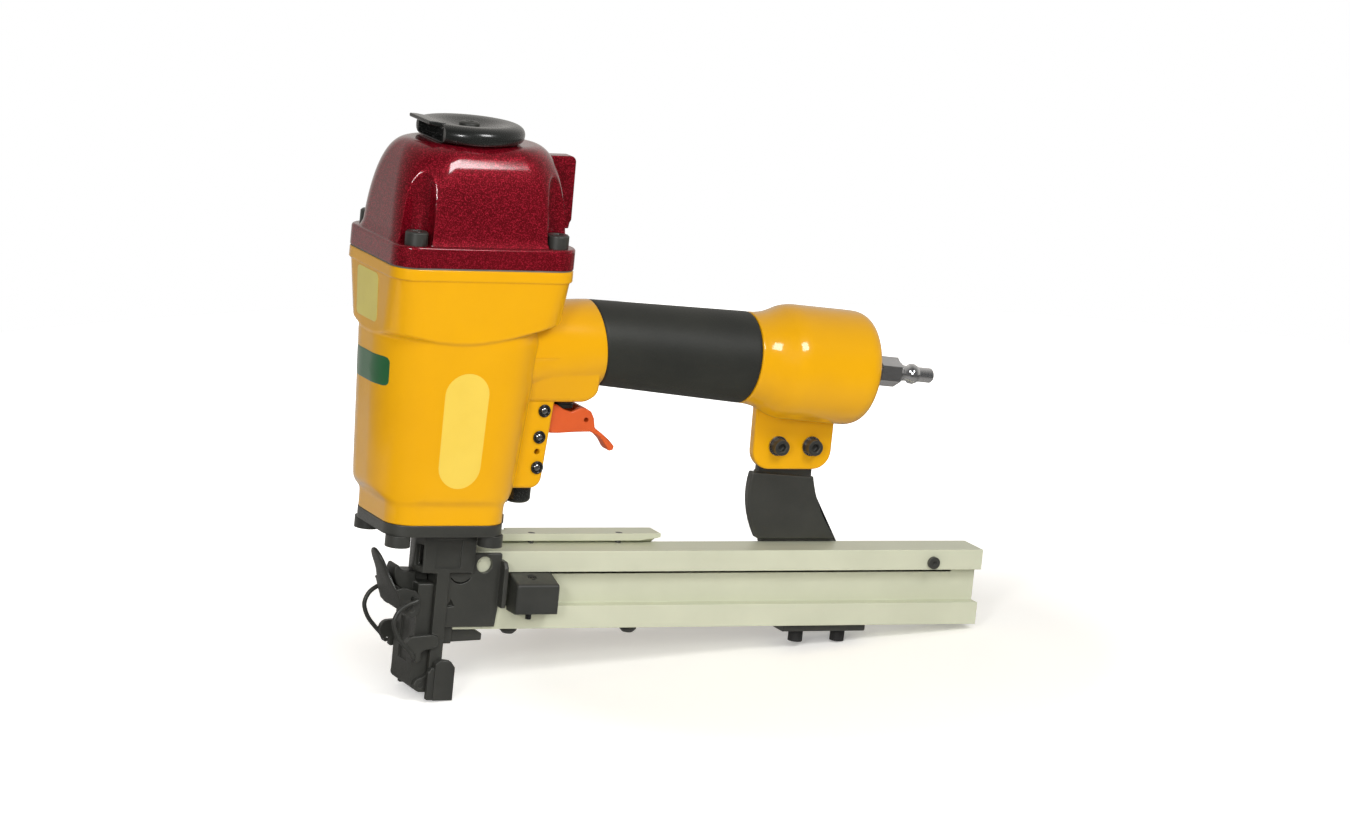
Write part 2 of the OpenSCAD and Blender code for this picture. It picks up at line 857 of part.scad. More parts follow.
module nose() {
  color([0.2, 0.2, 0.19]) in_frame()
    difference() {
      union() {
        // upper block with bevelled front corners
        translate([0, 0, upper_low_z])
          linear_extrude(plate_z - upper_low_z)
            polygon([
              [-12.3, 7 - nose_half], [-9.5, -nose_half], [upper_rear_x, -nose_half],
              [upper_rear_x, nose_half], [-3, nose_half], [-12.3, -3]
            ]);
        // blade guide
        translate([-channel_x, -nose_half, nose_low_z])
          cube([step_x + channel_x, 2 * nose_half, upper_low_z - nose_low_z + 1]);
        translate([step_x - 1, -side_in, tongue_z])
          cube([nose_rear_x - step_x + 1, 2 * side_in, upper_low_z - tongue_z + 1]);
        // hinge lugs
        for (s = [-1, 1])
          along_y(min(s * (door_half + play), s * nose_half), max(s * (door_half + play), s * nose_half))
            union() {
              translate(door_pin)
                circle(knuckle_r);
              polygon([
                [door_pin[0], door_pin[1] - knuckle_r], [1, nose_low_z + 0.4],
                [1, door_pin[1] + 8], [door_pin[0], door_pin[1] + knuckle_r]
              ]);
            }
        // ears for the latch wire
        ear();
        mirror([0, 1, 0])
          ear();
        // tongue under the magazine
        along_y(-8, 8)
          polygon([[8, tongue_z], [30, tongue_z + 1], [30, 32], [24, mag_low_z], [8, mag_low_z]]);
      }
      // blade channel, fastener slot and magazine pocket
      translate([-channel_x - 1, -channel_half, -1])
        cube([2 * channel_x + 1, 2 * channel_half, plate_z + 2]);
      translate([0, -lane_half, lane_low_z])
        cube([nose_rear_x + 2, 2 * lane_half, lane_top_z + 0.8 - lane_low_z]);
      translate([nose_rear_x, -side_out - play, mag_low_z])
        cube([20, 2 * (side_out + play), mag_top_z - mag_low_z]);
      // relief behind the door's knuckle
      rod_y(door_pin, knuckle_r + play, -door_half - play, door_half + play);
      rod_y(door_pin, 1.5 + gap, -30, 30);
      // recess and slot on the near side
      translate([-3, -nose_half - 1, 68.5])
        cube([14, 2, 15]);
      translate([-10.9, 3.5 - nose_half, 69.4])
        rotate([0, 0, 21.8])
          translate([-1, -2.5, 0])
            cube([3.5, 5, 10.8]);
    }
}

module door() {
  color([0.22, 0.22, 0.21]) in_frame()
    difference() {
      union() {
        translate([door_front_x, -door_half, door_pin[1]])
          cube([door_t, 2 * door_half, 60 - door_pin[1]]);
        rod_y(door_pin, knuckle_r, -door_half, door_half);
        translate([door_front_x, -4, 58])
          cube([door_t, 8, 7]);
        // boss for the lever
        along_y(-door_half, door_half)
          union() {
            translate(lever_pin)
              circle(4);
            translate([lever_pin[0], lever_pin[1] - 3])
              square([door_front_x - lever_pin[0] + 1, 6]);
          }
      }
      rod_y(door_pin, 1.5 + gap, -30, 30);
      rod_y(lever_pin, 1.5 + gap, -30, 30);
      translate([door_front_x - 1, -6, 17])
        cube([2.2, 12, 22]);
    }
}

module door_pin_rod() {
  color([0.18, 0.18, 0.18]) in_frame()
    rod_y(door_pin, 1.5, -nose_half, nose_half);
}

module latch_lever() {
  color([0.2, 0.21, 0.2]) in_frame()
    difference() {
      union() {
        for (s = [-1, 1])
          along_y(min(s * lever_in, s * lever_out), max(s * lever_in, s * lever_out))
            union() {
              translate(lever_pin)
                circle(4.2);
              polygon([
                [-17.7, 47], [-9.3, 47], [-9.6, 53], [-12, 56.4], [-18, 58], [-22.4, 57.4], [-20, 50]
              ]);
            }
        along_y(-lever_out, lever_out)
          polygon([[-19.4, 51], [-17.7, 50.6], [-20.4, 57.8], [-22.6, 57]]);
        along_y(-9, 9)
          polygon([[-20.2, 55.6], [-22.4, 56.6], [-26.6, 65.4], [-24.2, 66]]);
        along_y(-6, 6)
          polygon([[-24.4, 65], [-26.6, 65.2], [-31.4, 73], [-31.8, 75.4], [-30, 76], [-28.4, 74.6]]);
      }
      rod_y(lever_pin, 1.5 + gap, -30, 30);
      rod_y(wire_top, stub_r + gap, -30, 30);
    }
}

module lever_pin_rod() {
  color([0.18, 0.18, 0.18]) in_frame()
    rod_y(lever_pin, 1.5, -lever_out, lever_out);
}

module latch_arm(y) {
  chord = wire_top[1] - wire_end[1];
  bow = 11.4;
  r = (chord * chord / 4 + bow * bow) / (2 * bow);
  half = asin(chord / 2 / r);
  tilt = atan2(wire_top[0] - wire_end[0], chord);
  mid = (wire_top + wire_end) / 2;
  translate([mid[0], y, mid[1]])
    rotate([90, 0, 0])
      rotate([0, 0, -tilt])
        translate([r - bow, 0, 0])
          rotate([0, 0, 180 - half])
            rotate_extrude(angle = 2 * half)
              translate([r, 0])
                circle(wire_r, $fn = 32);
}

module latch_wire() {
  color([0.15, 0.15, 0.14]) in_frame() {
    for (s = [-1, 1])
      latch_arm(s * wire_y);
    rod_y(wire_top, stub_r, -wire_y - stub_r, wire_y + stub_r);
    rod_y(wire_end, stub_r, -wire_y - stub_r, -ear_in - 0.6);
    rod_y(wire_end, stub_r, ear_in + 0.6, wire_y + stub_r);
  }
}

// Magazine group

module side_outline() {
  difference() {
    polygon([
      [step_x + play, side_low_z], [side_rear_x - 0.7, side_low_z], [side_rear_x, side_low_z + 8.9],
      [side_rear_x, side_top_z], [upper_rear_x + play, side_top_z],
      [upper_rear_x + play, upper_low_z - play], [step_x + play, upper_low_z - play]
    ]);
    translate([side_rear_x - 9.4, side_top_z - 5.9])
      circle(4.4);
  }
}

module side_plate_near() {
  color([0.2, 0.2, 0.19]) in_frame()
    union() {
      along_y(-side_out, -side_in)
        side_outline();
      // flared rear flange
      along_x(side_rear_x - 0.5, side_rear_x + 2)
        polygon([
          [-19, side_low_z + 11.2], [-side_in, side_low_z + 11.2], [-side_in, side_top_z - 3.6],
          [-16.5, side_top_z - 3.6], [-19, side_top_z - 6.6]
        ]);
    }
}

module side_plate_far() {
  color([0.2, 0.2, 0.19]) in_frame()
    along_y(side_in, side_out)
      side_outline();
}

module magazine() {
  color([0.77, 0.78, 0.72]) in_frame()
    difference() {
      along_x(mag_front_x, mag_rear_x)
        difference() {
          translate([-mag_half, mag_low_z])
            square([2 * mag_half, mag_top_z - mag_low_z]);
          // near groove
          translate([-mag_half - 1, groove_low_z])
            square([mag_half + 1 + web_y, groove_top_z - groove_low_z]);
          // fastener lane
          translate([-lane_half, lane_low_z])
            square([2 * lane_half, lane_top_z - lane_low_z]);
          // far hollow
          translate([4, mag_low_z + 4.1])
            square([mag_half - 6, mag_top_z - mag_low_z - 8.2]);
        }
      // slot for the pusher's foot
      translate([side_rear_x + 3, web_y - 1, slot_z])
        cube([mag_rear_x - side_rear_x - 18, 4, 1.8]);
      rod_y(rear_screw_at, 2 + gap, -20, 0);
      for (x = [mag_screw_x1, mag_screw_x2])
        rod_z(x, 0, mag_screw_r + gap, mag_low_z - 4.9, mag_low_z + 3.1);
      for (x = [strip_screw_x1, strip_screw_x2])
        rod_z(x, strip_screw_y, strip_screw_r + gap, mag_top_z - 6.1, mag_top_z + 3.9);
      for (x = [foot_x1, foot_x2])
        rod_z(x, foot_y, 2 + gap, mag_low_z - 4.9, mag_low_z + 3.1);
    }
}

module top_strip() {
  x = base_x + bolt_x + bolt_head_r + 1;
  color([0.74, 0.75, 0.7]) in_frame()
    difference() {
      along_y(6, 19.5)
        polygon([
          [x, mag_top_z], [strip_end_x - 4, mag_top_z], [strip_end_x, mag_top_z + strip_t - 2],
          [strip_end_x, mag_top_z + strip_t], [x, mag_top_z + strip_t]
        ]);
      // undercut along the near edge, rising at the rear
      along_y(5, 9)
        polygon([
          [x - 1, mag_top_z - 1], [strip_end_x + 1, mag_top_z - 1], [strip_end_x + 1, mag_top_z + strip_t - 2],
          [strip_end_x - 5, mag_top_z + strip_gap + 0.9], [strip_end_x - 12, mag_top_z + strip_gap],
          [x - 1, mag_top_z + strip_gap]
        ]);
      // notch for the contact arm
      translate([x - 1, shoe_in - 0.8, mag_top_z - 1])
        cube([49 - x + 1, 10, strip_t + 2]);
      for (x = [strip_screw_x1, strip_screw_x2]) {
        rod_z(x, strip_screw_y, strip_screw_r + gap, mag_top_z - 6.1, mag_top_z + 13.9);
        translate([x, strip_screw_y, mag_top_z + strip_t - 0.6])
          cylinder(r1 = strip_screw_r + gap, r2 = strip_head_r + gap, h = 0.6);
      }
    }
}

module strip_screws() {
  color([0.2, 0.2, 0.2]) in_frame()
    for (x = [strip_screw_x1, strip_screw_x2]) {
      rod_z(x, strip_screw_y, strip_screw_r, mag_top_z - 3.6, mag_top_z + strip_t - 0.1);
      translate([x, strip_screw_y, mag_top_z + strip_t - 0.6])
        cylinder(r1 = strip_screw_r, r2 = strip_head_r, h = 0.5);
    }
}

module rear_screw() {
  color([0.12, 0.12, 0.12]) in_frame()
    difference() {
      union() {
        rod_y(rear_screw_at, 2, -mag_half - 0.4, -lane_half - 0.4);
        rod_y(rear_screw_at, 3.3, -mag_half - 2, -mag_half);
      }
      rod_y(rear_screw_at, 1.2, -mag_half - 3, -mag_half - 0.8);
    }
}

module magazine_screws() {
  color([0.12, 0.12, 0.12]) in_frame()
    for (x = [mag_screw_x1, mag_screw_x2]) {
      rod_z(x, 0, mag_screw_r, mag_low_z - 0.5, mag_low_z + 1.9);
      translate([x, 0, mag_low_z - 4.6])
        cylinder(r1 = 2.9, r2 = 4.6, h = 1.8);
      rod_z(x, 0, 4.6, mag_low_z - 2.8, mag_low_z);
    }
}

module end_stop() {
  color([0.15, 0.15, 0.15]) in_frame()
    translate([end_stop_x, -lane_half, lane_low_z + 7])
      cube([14, 2 * lane_half, lane_top_z - lane_low_z - 13.2]);
}

module pusher() {
  x = pusher_front_x;
  color([0.16, 0.16, 0.15]) in_frame()
    difference() {
      union() {
        along_x(x, x + pusher_l)
          polygon([
            [-23, groove_low_z - 1.6], [-mag_half - 0.5, groove_low_z - 1.6],
            [-mag_half - 0.5, groove_low_z + play], [web_y - play, groove_low_z + play],
            [web_y - play, groove_top_z - play], [-mag_half - 0.5, groove_top_z - play],
            [-23, groove_top_z - 4]
          ]);
        translate([x + 4, web_y - 1, slot_z + play])
          cube([12, 4, 1.8 - 2 * play]);
        translate([x, -lane_half + play, lane_low_z + 3])
          cube([16, 2 * (lane_half - play), lane_top_z - lane_low_z - 7.2]);
      }
      rod_z(x + 11, -15, 1.6 + gap, groove_low_z - 7, groove_top_z + 5);
    }
}

module pusher_pin() {
  color([0.1, 0.1, 0.1]) in_frame()
    rod_z(pusher_front_x + 11, -15, 1.6, groove_low_z - 5.6, groove_top_z - 2.4);
}

module pusher_spring() {
  color([0.6, 0.6, 0.62]) in_frame()
    difference() {
      along_x(pusher_front_x + 16.2, end_stop_x - 0.2)
        translate([0, lane_low_z + 11])
          circle(1.6, $fn = 24);
      along_x(pusher_front_x + 15, end_stop_x + 1)
        translate([0, lane_low_z + 11])
          circle(1.1, $fn = 24);
    }
}

// Stay, its foot and screws

module stay() {
  color([0.14, 0.14, 0.14]) in_frame()
    difference() {
      union() {
        // tab behind the lug
        along_y(lug_high_y, lug_high_y + 4)
          polygon([[187, 108], [219, 108], [219, 134], [214, 138], [192, 138], [187, 134]]);
        // plate down the far side
        along_y(stay_in, stay_in + stay_t)
          polygon(concat(
            curve([188.6, 114.5], [184.6, 97], [194.5, 77]),
            [[203, 50], [203, foot_z], [253, foot_z]],
            curve([253, 46], [250, 66], [238, stay_shelf_z - 0.3]),
            curve([237, stay_shelf_z + 1], [223.5, 94], [220, 112])
          ));
        // ledge
        along_y(lug_high_y - 1.5, stay_in + 1)
          polygon(concat(
            curve([183.6, 114.5], [179.5, 97], [190, stay_shelf_z]),
            curve([237, stay_shelf_z], [223.5, 94], [220, 112])
          ));
        // foot plate
        translate([204, -8, foot_z])
          cube([49, stay_in + stay_t + 8, foot_t]);
      }
      rod_y([lug_x1, lug_z], 2.5 + gap, 0, 20);
      rod_y([lug_x2, lug_z], 2.5 + gap, 0, 20);
      rod_z(foot_x1, foot_y, 2 + gap, 20, 40);
      rod_z(foot_x2, foot_y, 2 + gap, 20, 40);
    }
}

module lug_screws() {
  color([0.2, 0.2, 0.2]) in_frame()
    for (x = [lug_x1, lug_x2])
      difference() {
        union() {
          rod_y([x, lug_z], 2.5, lug_low_y - 2, lug_high_y + 4);
          rod_y([x, lug_z], 4.2, lug_low_y - 6, lug_low_y - 1);
        }
        translate([x, lug_low_y - 7, lug_z])
          rotate([-90, 0, 0])
            cylinder(r = 2.3, h = 4, $fn = 6);
      }
}

module lug_washers() {
  color([0.55, 0.55, 0.52]) in_frame()
    for (x = [lug_x1, lug_x2])
      difference() {
        rod_y([x, lug_z], 5.3, lug_low_y - 1, lug_low_y);
        rod_y([x, lug_z], 2.5 + gap, lug_low_y - 2, lug_low_y + 1);
      }
}

module foot_screws() {
  color([0.1, 0.1, 0.1]) in_frame()
    for (x = [foot_x1, foot_x2]) {
      rod_z(x, foot_y, 2, foot_z - 1, mag_low_z + 1.9);
      rod_z(x, foot_y, 3.9, foot_z - 6.8, foot_z);
    }
}

body();
gasket();
cap();
cap_screws();
deflector();
deflector_screw();
sleeve();
bumper();
piston();
piston_ring();
driver_blade();
head_valve();
head_valve_spring();
grip();
end_cap();
air_plug();
trigger();
block_pins();
pin_grommets();
valve_body();
valve_stem();
stem_spring();
arm_guide();
contact_arm();
arm_spring();
bottom_plate();
base_screws();
nose();
door();
door_pin_rod();
latch_lever();
lever_pin_rod();
latch_wire();
side_plate_near();
side_plate_far();
magazine();
top_strip();
strip_screws();
rear_screw();
magazine_screws();
end_stop();
pusher();
pusher_pin();
pusher_spring();
stay();
lug_screws();
lug_washers();
foot_screws();
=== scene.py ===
import math

import bmesh
import bpy
import numpy as np
from mathutils import Matrix, Vector


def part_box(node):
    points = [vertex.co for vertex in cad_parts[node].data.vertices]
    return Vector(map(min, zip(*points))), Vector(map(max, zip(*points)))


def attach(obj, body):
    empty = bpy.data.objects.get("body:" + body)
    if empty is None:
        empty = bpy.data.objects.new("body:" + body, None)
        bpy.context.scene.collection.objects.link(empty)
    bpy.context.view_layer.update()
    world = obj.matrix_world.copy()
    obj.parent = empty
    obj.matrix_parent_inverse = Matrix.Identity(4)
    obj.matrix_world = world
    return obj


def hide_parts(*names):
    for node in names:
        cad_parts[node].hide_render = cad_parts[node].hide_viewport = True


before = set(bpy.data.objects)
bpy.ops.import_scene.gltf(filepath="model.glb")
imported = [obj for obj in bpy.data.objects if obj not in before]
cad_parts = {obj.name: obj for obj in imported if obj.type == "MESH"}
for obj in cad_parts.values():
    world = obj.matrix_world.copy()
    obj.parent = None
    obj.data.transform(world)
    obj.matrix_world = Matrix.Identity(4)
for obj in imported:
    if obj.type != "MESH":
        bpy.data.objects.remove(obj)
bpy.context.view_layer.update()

# The view: a long lens from the tool's front left, a little above the magazine.
# The camera is rolled, because the tool leans on its nose and its rear foot.
mm = 0.001
piston_low, piston_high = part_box("piston")
drive_x = (piston_low.x + piston_high.x) / 2
view_turn = math.radians(26.21)
view_rise = math.radians(10.88)
view_roll = math.radians(5.83)
view_distance = 2.712
view_target = Vector((drive_x + 131.4 * mm, 0, 147.6 * mm))
photo_width_px = 1350
focal_length_px = 5208
sensor_width_mm = 36

toward_camera = Vector(
    (
        -math.sin(view_turn) * math.cos(view_rise),
        -math.cos(view_turn) * math.cos(view_rise),
        math.sin(view_rise),
    )
)
level_right = Vector((math.cos(view_turn), -math.sin(view_turn), 0))
level_up = toward_camera.cross(level_right)
rolled_right = math.cos(view_roll) * level_right + math.sin(view_roll) * level_up
rolled_up = math.cos(view_roll) * level_up - math.sin(view_roll) * level_right

lens = bpy.data.cameras.new("photo_lens")
lens.sensor_fit = "HORIZONTAL"
lens.sensor_width = sensor_width_mm
lens.lens = focal_length_px * sensor_width_mm / photo_width_px
lens.clip_start = 0.1
lens.clip_end = 20
camera = bpy.data.objects.new("photo_camera", lens)
camera_place = Matrix((rolled_right, rolled_up, toward_camera)).transposed().to_4x4()
camera_place.translation = view_target + view_distance * toward_camera
camera.matrix_world = camera_place
bpy.context.scene.collection.objects.link(camera)
bpy.context.scene.camera = camera
bpy.context.scene.view_settings.view_transform = "Standard"


# The floor: a white sweep under the nose shoe and the foot screws.
# It fades to plain white away from the tool, and it keeps the tool's soft shadow.
# Shiny surfaces see a painted reflection on it instead of the lit sheet: a glow, stronger near the tool and
# towards the backdrop.
def feed(tree, socket, value):
    """Links a socket to another one, or sets its number or colour."""
    if isinstance(value, bpy.types.NodeSocket):
        tree.links.new(value, socket)
    else:
        socket.default_value = value


def node_in(tree, kind, *in_turn, **by_name):
    """A shader node with its first inputs fed in turn and others by name; other names are properties."""
    made = tree.nodes.new("ShaderNode" + kind)
    for key, value in by_name.items():
        name = key.replace("_", " ")
        if name in made.inputs:
            feed(tree, made.inputs[name], value)
        else:
            setattr(made, key, value)
    for socket, value in zip(made.inputs, in_turn):
        feed(tree, socket, value)
    return made


def worked(tree, kind, operation, *values):
    """What a Math or Vector Math node makes of its values, each a socket or a number."""
    return node_in(tree, kind, *values, operation=operation).outputs["Value"]


def own_place(tree):
    """The piece's own Object coordinates."""
    return node_in(tree, "TexCoord").outputs["Object"]


def shiny_mask(tree):
    """One where a ray comes from a mirror or glass, else zero."""
    rays = node_in(tree, "LightPath").outputs
    return worked(tree, "Math", "MAXIMUM", rays["Is Glossy Ray"], rays["Is Transmission Ray"])


def ranged(tree, value, low, high, start=0.0, end=1.0):
    """A value carried from one range to another in a straight line."""
    made = node_in(tree, "MapRange", value, From_Min=start, From_Max=end, To_Min=low, To_Max=high)
    return made.outputs["Result"]


floor_reach = 0.9
floor_gap = 0.15 * mm
white = (1, 1, 1, 1)
sheet_colour = (0.95, 0.93, 0.885, 1)
painted_reflection_colour = (1, 0.97, 0.93, 1)
shadow_offset = (-view_target.x - 0.09, 0.02, 0)
to_backdrop = (-0.5, 0.866, 0)
foot_low, foot_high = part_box("foot_screws")
shoe_back_x = drive_x + 11.4 * mm
floor_slope = foot_low.z / (foot_high.x - shoe_back_x)

rim = np.linspace(0, 2 * np.pi, 96, endpoint=False)
rim_x = view_target.x + floor_reach * np.cos(rim)
rim_y = floor_reach * np.sin(rim)
rim_z = (rim_x - shoe_back_x) * floor_slope - floor_gap
floor_mesh = bpy.data.meshes.new("floor")
floor_mesh.from_pydata(np.stack([rim_x, rim_y, rim_z], axis=-1).tolist(), [], [list(range(len(rim)))])
floor = bpy.data.objects.new("floor", floor_mesh)
bpy.context.scene.collection.objects.link(floor)

floor_white = bpy.data.materials.new("floor_white")
floor_white.use_nodes = True
tree = floor_white.node_tree
tree.nodes.clear()
sheet = node_in(tree, "BsdfDiffuse", Color=sheet_colour)
middle = node_in(tree, "Mapping", own_place(tree), Location=shadow_offset)
away = worked(tree, "VectorMath", "LENGTH", middle.outputs["Vector"])
rays = node_in(tree, "LightPath")
far_glow = ranged(tree, away, low=0.2, high=1.0, start=0.15, end=0.4)
shown = worked(tree, "Math", "MULTIPLY", rays.outputs["Is Camera Ray"], far_glow)
glow = node_in(tree, "Emission", Color=white, Strength=shown)
lit_sheet = node_in(tree, "AddShader", sheet.outputs["BSDF"], glow.outputs["Emission"])
# Painted reflection: glossy rays see a glow here instead of the lit sheet, stronger near the tool and towards
# the backdrop; shine is its strength.
behind = worked(tree, "VectorMath", "DOT_PRODUCT", own_place(tree), to_backdrop)
painted_near_reflection = ranged(tree, away, low=0.3, high=0.06, start=0.12, end=0.4)
painted_back_reflection = ranged(tree, behind, low=0, high=0.7, start=0.04, end=0.3)
shine = worked(tree, "Math", "MAXIMUM", painted_near_reflection, painted_back_reflection)
painted_reflection = node_in(tree, "Emission", Color=painted_reflection_colour, Strength=shine)
looks = lit_sheet.outputs["Shader"], painted_reflection.outputs["Emission"]
blend = node_in(tree, "MixShader", shiny_mask(tree), *looks)
node_in(tree, "OutputMaterial", Surface=blend.outputs["Shader"])
floor_mesh.materials.append(floor_white)


# The light: a white sweep behind the tool, a dim studio in front of it, and four softboxes.
# The camera sees white all round, shiny surfaces see the sweep and the studio, and the rest is an even fill.
def mixed(tree, mask, one, two):
    """A colour between two, by a mask; each colour is a socket or four numbers."""
    made = node_in(tree, "Mix", data_type="RGBA", Factor=mask)
    colours = [s for s in made.inputs if s.type == "RGBA"]
    for socket, value in zip(colours, (one, two)):
        feed(tree, socket, value)
    return [s for s in made.outputs if s.type == "RGBA"][0]


even_fill = (0.37, 0.365, 0.355, 1)
sweep_shine = (0.6, 0.58, 0.55, 1)
studio_dark = (0.06, 0.06, 0.06, 1)
room = bpy.data.worlds.new("white_sweep")
bpy.context.scene.world = room
room.use_nodes = True
tree = room.node_tree
tree.nodes.clear()
heading = node_in(tree, "TexCoord")
studio_way = (-math.sin(view_turn), -math.cos(view_turn), 0)
to_studio = worked(tree, "VectorMath", "DOT_PRODUCT", heading.outputs["Generated"], studio_way)
studio_mask = ranged(tree, to_studio, low=0, high=1, start=-0.85, end=0.4)
seen_room = mixed(tree, studio_mask, sweep_shine, studio_dark)
rays = node_in(tree, "LightPath")
lit_room = mixed(tree, shiny_mask(tree), even_fill, seen_room)
whole_room = mixed(tree, rays.outputs["Is Camera Ray"], lit_room, white)
sky = node_in(tree, "Background", Color=whole_room, Strength=1.0)
node_in(tree, "OutputWorld", Surface=sky.outputs["Background"])


lamp_aim = Vector((0.08, 0, 0.15))


def softbox(name, place, width, height, power):
    """An area lamp at a place, turned so that its face looks at the middle of the tool."""
    lamp = bpy.data.lights.new(name, "AREA")
    lamp.shape = "RECTANGLE"
    lamp.size = width
    lamp.size_y = height
    lamp.energy = power
    made = bpy.data.objects.new(name, lamp)
    turn = (lamp_aim - Vector(place)).to_track_quat("-Z", "Y")
    made.matrix_world = Matrix.Translation(place) @ turn.to_matrix().to_4x4()
    bpy.context.scene.collection.objects.link(made)
    return made


softbox("key_softbox", (-1.0, -1.25, 0.6), width=0.3, height=0.3, power=8.5)
softbox("top_softbox", (0.31, -0.98, 1.01), width=0.39, height=0.36, power=7.5)
fill = softbox("fill_softbox", (-0.4, -1.7, 0.9), width=0.9, height=0.9, power=8.5)
back = softbox("back_softbox", (0.5, 1.9, 0.7), width=1.2, height=0.8, power=4)
for lamp in (fill, back):
    lamp.visible_glossy = False


# The body: one casting with a collar, a tapered barrel, a neck and handle, a valve block and a lug.
# It is cast in light alloy and finished in a thick gloss yellow enamel.
def tool(points):
    """Millimetres from the drive axis to metres in the frame: scaled, then moved along X to the axis."""
    return np.asarray(points, float) * mm + np.array([drive_x, 0.0, 0.0])


def grid_mesh(name, rows, ends=True):
    """Four-sided faces between neighbours of a grid (row, place in the row, xyz).

    Each row is a ring, so its last point joins its first. One face closes each of the two end rows."""
    count, around = rows.shape[:2]
    here = np.arange(count * around).reshape(count, around)
    ahead = np.roll(here, -1, axis=1)
    sides = np.stack([here[:-1], ahead[:-1], ahead[1:], here[1:]], axis=-1).reshape(-1, 4)
    faces = sides.tolist()
    if ends:
        faces += [here[0, ::-1].tolist(), here[-1].tolist()]
    mesh = bpy.data.meshes.new(name)
    mesh.from_pydata(rows.reshape(-1, 3).tolist(), [], faces)
    return mesh


def reach(turn, length, width, corner, centre):
    """How far a ray from the drive axis goes inside a rounded rectangle.

    The distance rule is the gap past the inner rectangle less the corner. Its zero is found by halving."""
    near = np.zeros(np.broadcast(turn, length).shape)
    far = near + 120.0
    for _ in range(36):
        middle = (near + far) / 2
        past_x = np.abs(middle * np.cos(turn) - centre) - (length / 2 - corner)
        past_y = np.abs(middle * np.sin(turn)) - (width / 2 - corner)
        outside = np.hypot(np.maximum(past_x, 0), np.maximum(past_y, 0))
        gap = outside + np.minimum(np.maximum(past_x, past_y), 0) - corner
        near = np.where(gap < 0, middle, near)
        far = np.where(gap < 0, far, middle)
    return near


def soft_min(one, two, rounding):
    """The smaller of two values with the crossing rounded.

    It is half of the sum less the length of the pair (difference, rounding)."""
    return (one + two - np.hypot(one - two, rounding)) / 2


def soft_max(one, two, rounding):
    """The larger of two values with the crossing rounded: soft_min with all signs turned."""
    return -soft_min(-one, -two, rounding)


def edge_inset(height, low, high, radius):
    """How far a wall draws in near its two ends, along a quarter circle of that radius."""
    near_end = np.clip(radius - np.minimum(height - low, high - height), 0, radius)
    return radius - np.sqrt(radius**2 - near_end**2)


body_low_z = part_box("bottom_plate")[1].z / mm
body_top_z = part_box("gasket")[0].z / mm
base_top_z = 104.0
lip_z = body_top_z - 6.0
flange_l, flange_w, flange_r, flange_x = 99.6, 76.0, 12.0, 2.4
barrel_low_z, barrel_rise = 115.0, 90.0
barrel_l, barrel_w, barrel_r, barrel_x = 80.5, 62.0, 25.0, -1.8
base_l, base_w, base_r, base_spread = 65.0, 56.0, 12.0, 1.1
tuck_low_z, tuck_rise, tuck_depth = 186.0, 14.0, 8.0
collar_low_z, collar_rise = 184.0, 42.0
collar_draw, collar_gain = 6.0, 5.0
cone_z, cone_start_r, cone_least_r, cone_x = 190.0, 38.0, 9.0, -8.0
cone_slope = math.tan(math.radians(20))
base_fillet, cone_fillet, collar_fillet = 1.6, 1.2, 2.4


def barrel_radius(turn, height):
    """Distance of the body's skin from the drive axis, by turn and height.

    The tapered barrel is cut below by a spreading base flange, and joined above to the collar,
    whose underside is a cone of 20 degrees. Each crossing is rounded as a casting's fillet."""
    up = (height - barrel_low_z) / barrel_rise
    barrel = reach(turn, barrel_l + 12.1 * up, barrel_w + 7 * up, barrel_r + 3 * up, barrel_x * (1 - up))
    base = reach(turn, base_l + 0 * height, base_w, base_r, barrel_x)
    base = base + base_spread * soft_max(height - base_top_z, 0 * height, 1.2)
    tuck = tuck_depth * np.clip((height - tuck_low_z) / tuck_rise, 0, 1) ** 2
    lower = soft_min(barrel, base, base_fillet) - tuck
    rise = (height - collar_low_z) / collar_rise
    collar_l = flange_l - collar_draw + collar_gain * rise
    collar_w = flange_w - collar_draw + collar_gain * rise
    collar = reach(turn, collar_l, collar_w, 19 - 7 * rise, flange_x)
    cone_r = np.maximum(cone_start_r + (height - cone_z) / cone_slope, cone_least_r)
    cone = cone_x * np.cos(turn) + np.sqrt(cone_r**2 - (cone_x * np.sin(turn)) ** 2)
    shoulder = soft_min(collar, cone, cone_fillet)
    whole = soft_max(lower, shoulder, collar_fillet)
    lip = reach(turn, flange_l + 0 * height, flange_w, flange_r, flange_x)
    return np.where(height > lip_z, lip, whole)


def ring_turns(count):
    """Even turns of a full circle, as one row."""
    return np.linspace(0, 2 * np.pi, count, endpoint=False)[None, :]


def around_drive(turn, height, radius):
    """Points from turn, height and distance to the drive axis, in millimetres."""
    spot = np.broadcast_arrays(radius * np.cos(turn), radius * np.sin(turn), height)
    return np.stack(spot, axis=-1)


def shape_object(name, mesh):
    """An object for a mesh, linked to the scene, with its normals turned outwards."""
    work = bmesh.new()
    work.from_mesh(mesh)
    bmesh.ops.recalc_face_normals(work, faces=work.faces)
    work.to_mesh(mesh)
    work.free()
    made = bpy.data.objects.new(name, mesh)
    bpy.context.scene.collection.objects.link(made)
    return made


def lofted(name, rows):
    """A closed shape whose rings are the rows of a grid, in millimetres from the drive axis."""
    return shape_object(name, grid_mesh(name, tool(rows)))


def eased(made, width, segments=3, angle=35):
    """A Bevel that rounds every edge sharper than the angle, to a width in millimetres."""
    bevel = made.modifiers.new("eased_edges", "BEVEL")
    bevel.width = width * mm
    bevel.segments = segments
    bevel.limit_method = "ANGLE"
    bevel.angle_limit = math.radians(angle)
    return made


def settled(made):
    """The object with its modifiers worked into its mesh."""
    view = bpy.context.evaluated_depsgraph_get()
    view.update()
    mesh = bpy.data.meshes.new_from_object(made.evaluated_get(view))
    made.modifiers.clear()
    old = made.data
    made.data = mesh
    bpy.data.meshes.remove(old)
    return made


